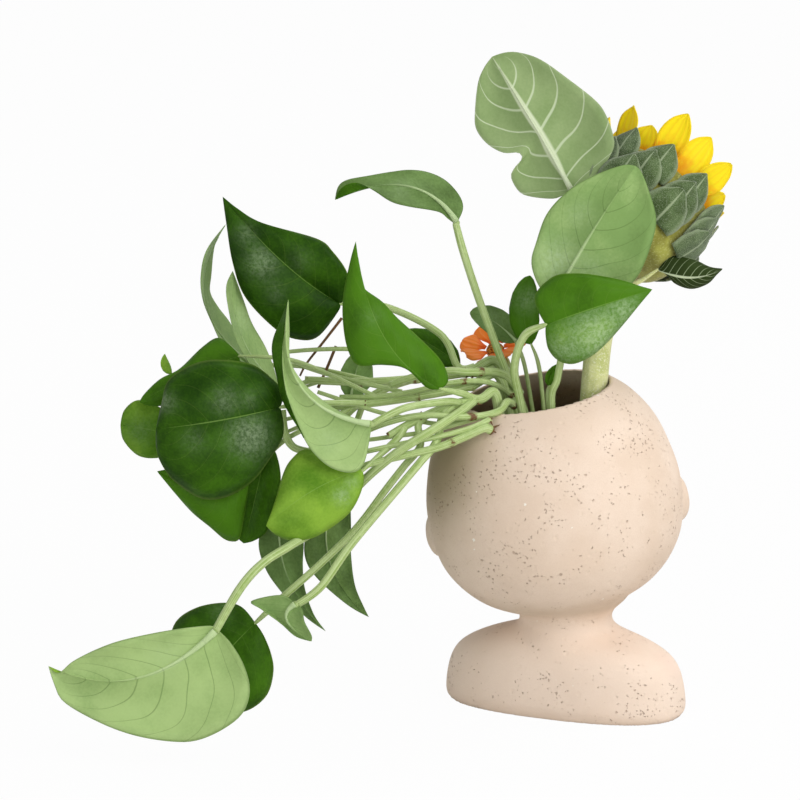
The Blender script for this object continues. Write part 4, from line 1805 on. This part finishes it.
class PLANTER_OT_orange_flower(bpy.types.Operator):
    """Small orange flower on its thin stem"""
    bl_idname = "planter.orange_flower"
    bl_label = "Orange flower"

    def execute(self, context):
        settings = context.scene.planter_flower
        orange = petal_finish("orange_petal_satin", settings.orange, linear("#fb7d22"), linear("#ffd083"),
                              0.5)
        heart = grainy_finish("orange_heart_rough", linear("#7a2a08"), linear("#e0a030"), 0.8, 0.8)
        stem = pothos_finishes(context.scene.planter_leaf)[2]
        radius = 1.6 * MM
        low = foot(522, -0.50)
        base = ORANGE_PLACE.translation
        end = base - ORANGE_FACING * GAP
        corners = [Vector((low.x, low.y, MIX_TOP + GAP)), seen(508, 364, -0.22),
                   end - ORANGE_FACING * (5 * radius)]
        line = [low] + [Vector(point) for point in curve(corners, 12)] + [end]
        skin = Skin()
        tube(skin, line, [radius] * len(line), 12, 0)
        skin.piece("bloom_stem", [stem], "orange_flower", "flower_stem", "orange_stem")

        skin = Skin()
        outline = curve([(ORANGE_HEART * 0.5, 0.0), (ORANGE_HEART * 0.95, ORANGE_HEART * 0.5),
                         (ORANGE_HEART, ORANGE_HEART), (ORANGE_HEART * 0.6, ORANGE_HEART * 1.6)], 5)
        outline = [(0.0, 0.0)] + [tuple(point) for point in outline] + [(0.0, ORANGE_HEART * 1.6)]
        turned(skin, outline, 24, ORANGE_PLACE)
        skin.piece("bloom_heart", [heart], "orange_flower", "orange_heart", "orange_heart")

        def half_width(share):
            out = ORANGE_HEART + (ORANGE_RADIUS - ORANGE_HEART) * max(share, 0.12)
            return math.pi * out / ORANGE_PETALS * 1.16

        start = (ORANGE_HEART + GAP, ORANGE_HEART + 0.7 * MM)
        skin = petal_skin(ORANGE_PETALS, ORANGE_RADIUS - ORANGE_HEART, (1.0,), (0.30, 0.52), start,
                          ORANGE_WIDTHS, half_width, random.Random(5), 1.0 * MM)
        skin = placed(skin, ORANGE_PLACE)
        skin.piece("bloom_petals", [orange], "orange_flower", "orange_petal", "orange_petals")
        return {"FINISHED"}


class PLANTER_PT_panel(bpy.types.Panel):
    """Sidebar list of the planter's pieces and settings"""
    bl_idname = "PLANTER_PT_panel"
    bl_label = "Head planter"
    bl_space_type = "VIEW_3D"
    bl_region_type = "UI"
    bl_category = "Planter"

    def draw(self, context):
        for kind in OPERATORS:
            self.layout.operator(kind.bl_idname)
        for group in (context.scene.planter_pot, context.scene.planter_leaf, context.scene.planter_flower,
                      context.scene.planter_light):
            for setting in group.bl_rna.properties:
                if not setting.is_readonly and setting.identifier != "name":
                    self.layout.prop(group, setting.identifier)


SETTINGS = {"planter_pot": PotSettings, "planter_leaf": LeafSettings, "planter_flower": FlowerSettings,
            "planter_light": LightSettings}
OPERATORS = (PLANTER_OT_stage, PLANTER_OT_pot, PLANTER_OT_mix, PLANTER_OT_vines, PLANTER_OT_leaves,
             PLANTER_OT_sunflower, PLANTER_OT_orange_flower)


def register():
    for name, group in SETTINGS.items():
        bpy.utils.register_class(group)
        setattr(bpy.types.Scene, name, bpy.props.PointerProperty(type=group))
    for kind in OPERATORS + (PLANTER_PT_panel,):
        bpy.utils.register_class(kind)


def unregister():
    for kind in reversed(OPERATORS + (PLANTER_PT_panel,)):
        bpy.utils.unregister_class(kind)
    for name, group in reversed(list(SETTINGS.items())):
        delattr(bpy.types.Scene, name)
        bpy.utils.unregister_class(group)


def main():
    """Builds the planter and notes its size."""
    register()
    bpy.ops.planter.stage()
    bpy.ops.planter.pot()
    bpy.ops.planter.mix()
    bpy.ops.planter.vines()
    bpy.ops.planter.leaves()
    bpy.ops.planter.sunflower()
    bpy.ops.planter.orange_flower()


if __name__ == "__main__":
    main()
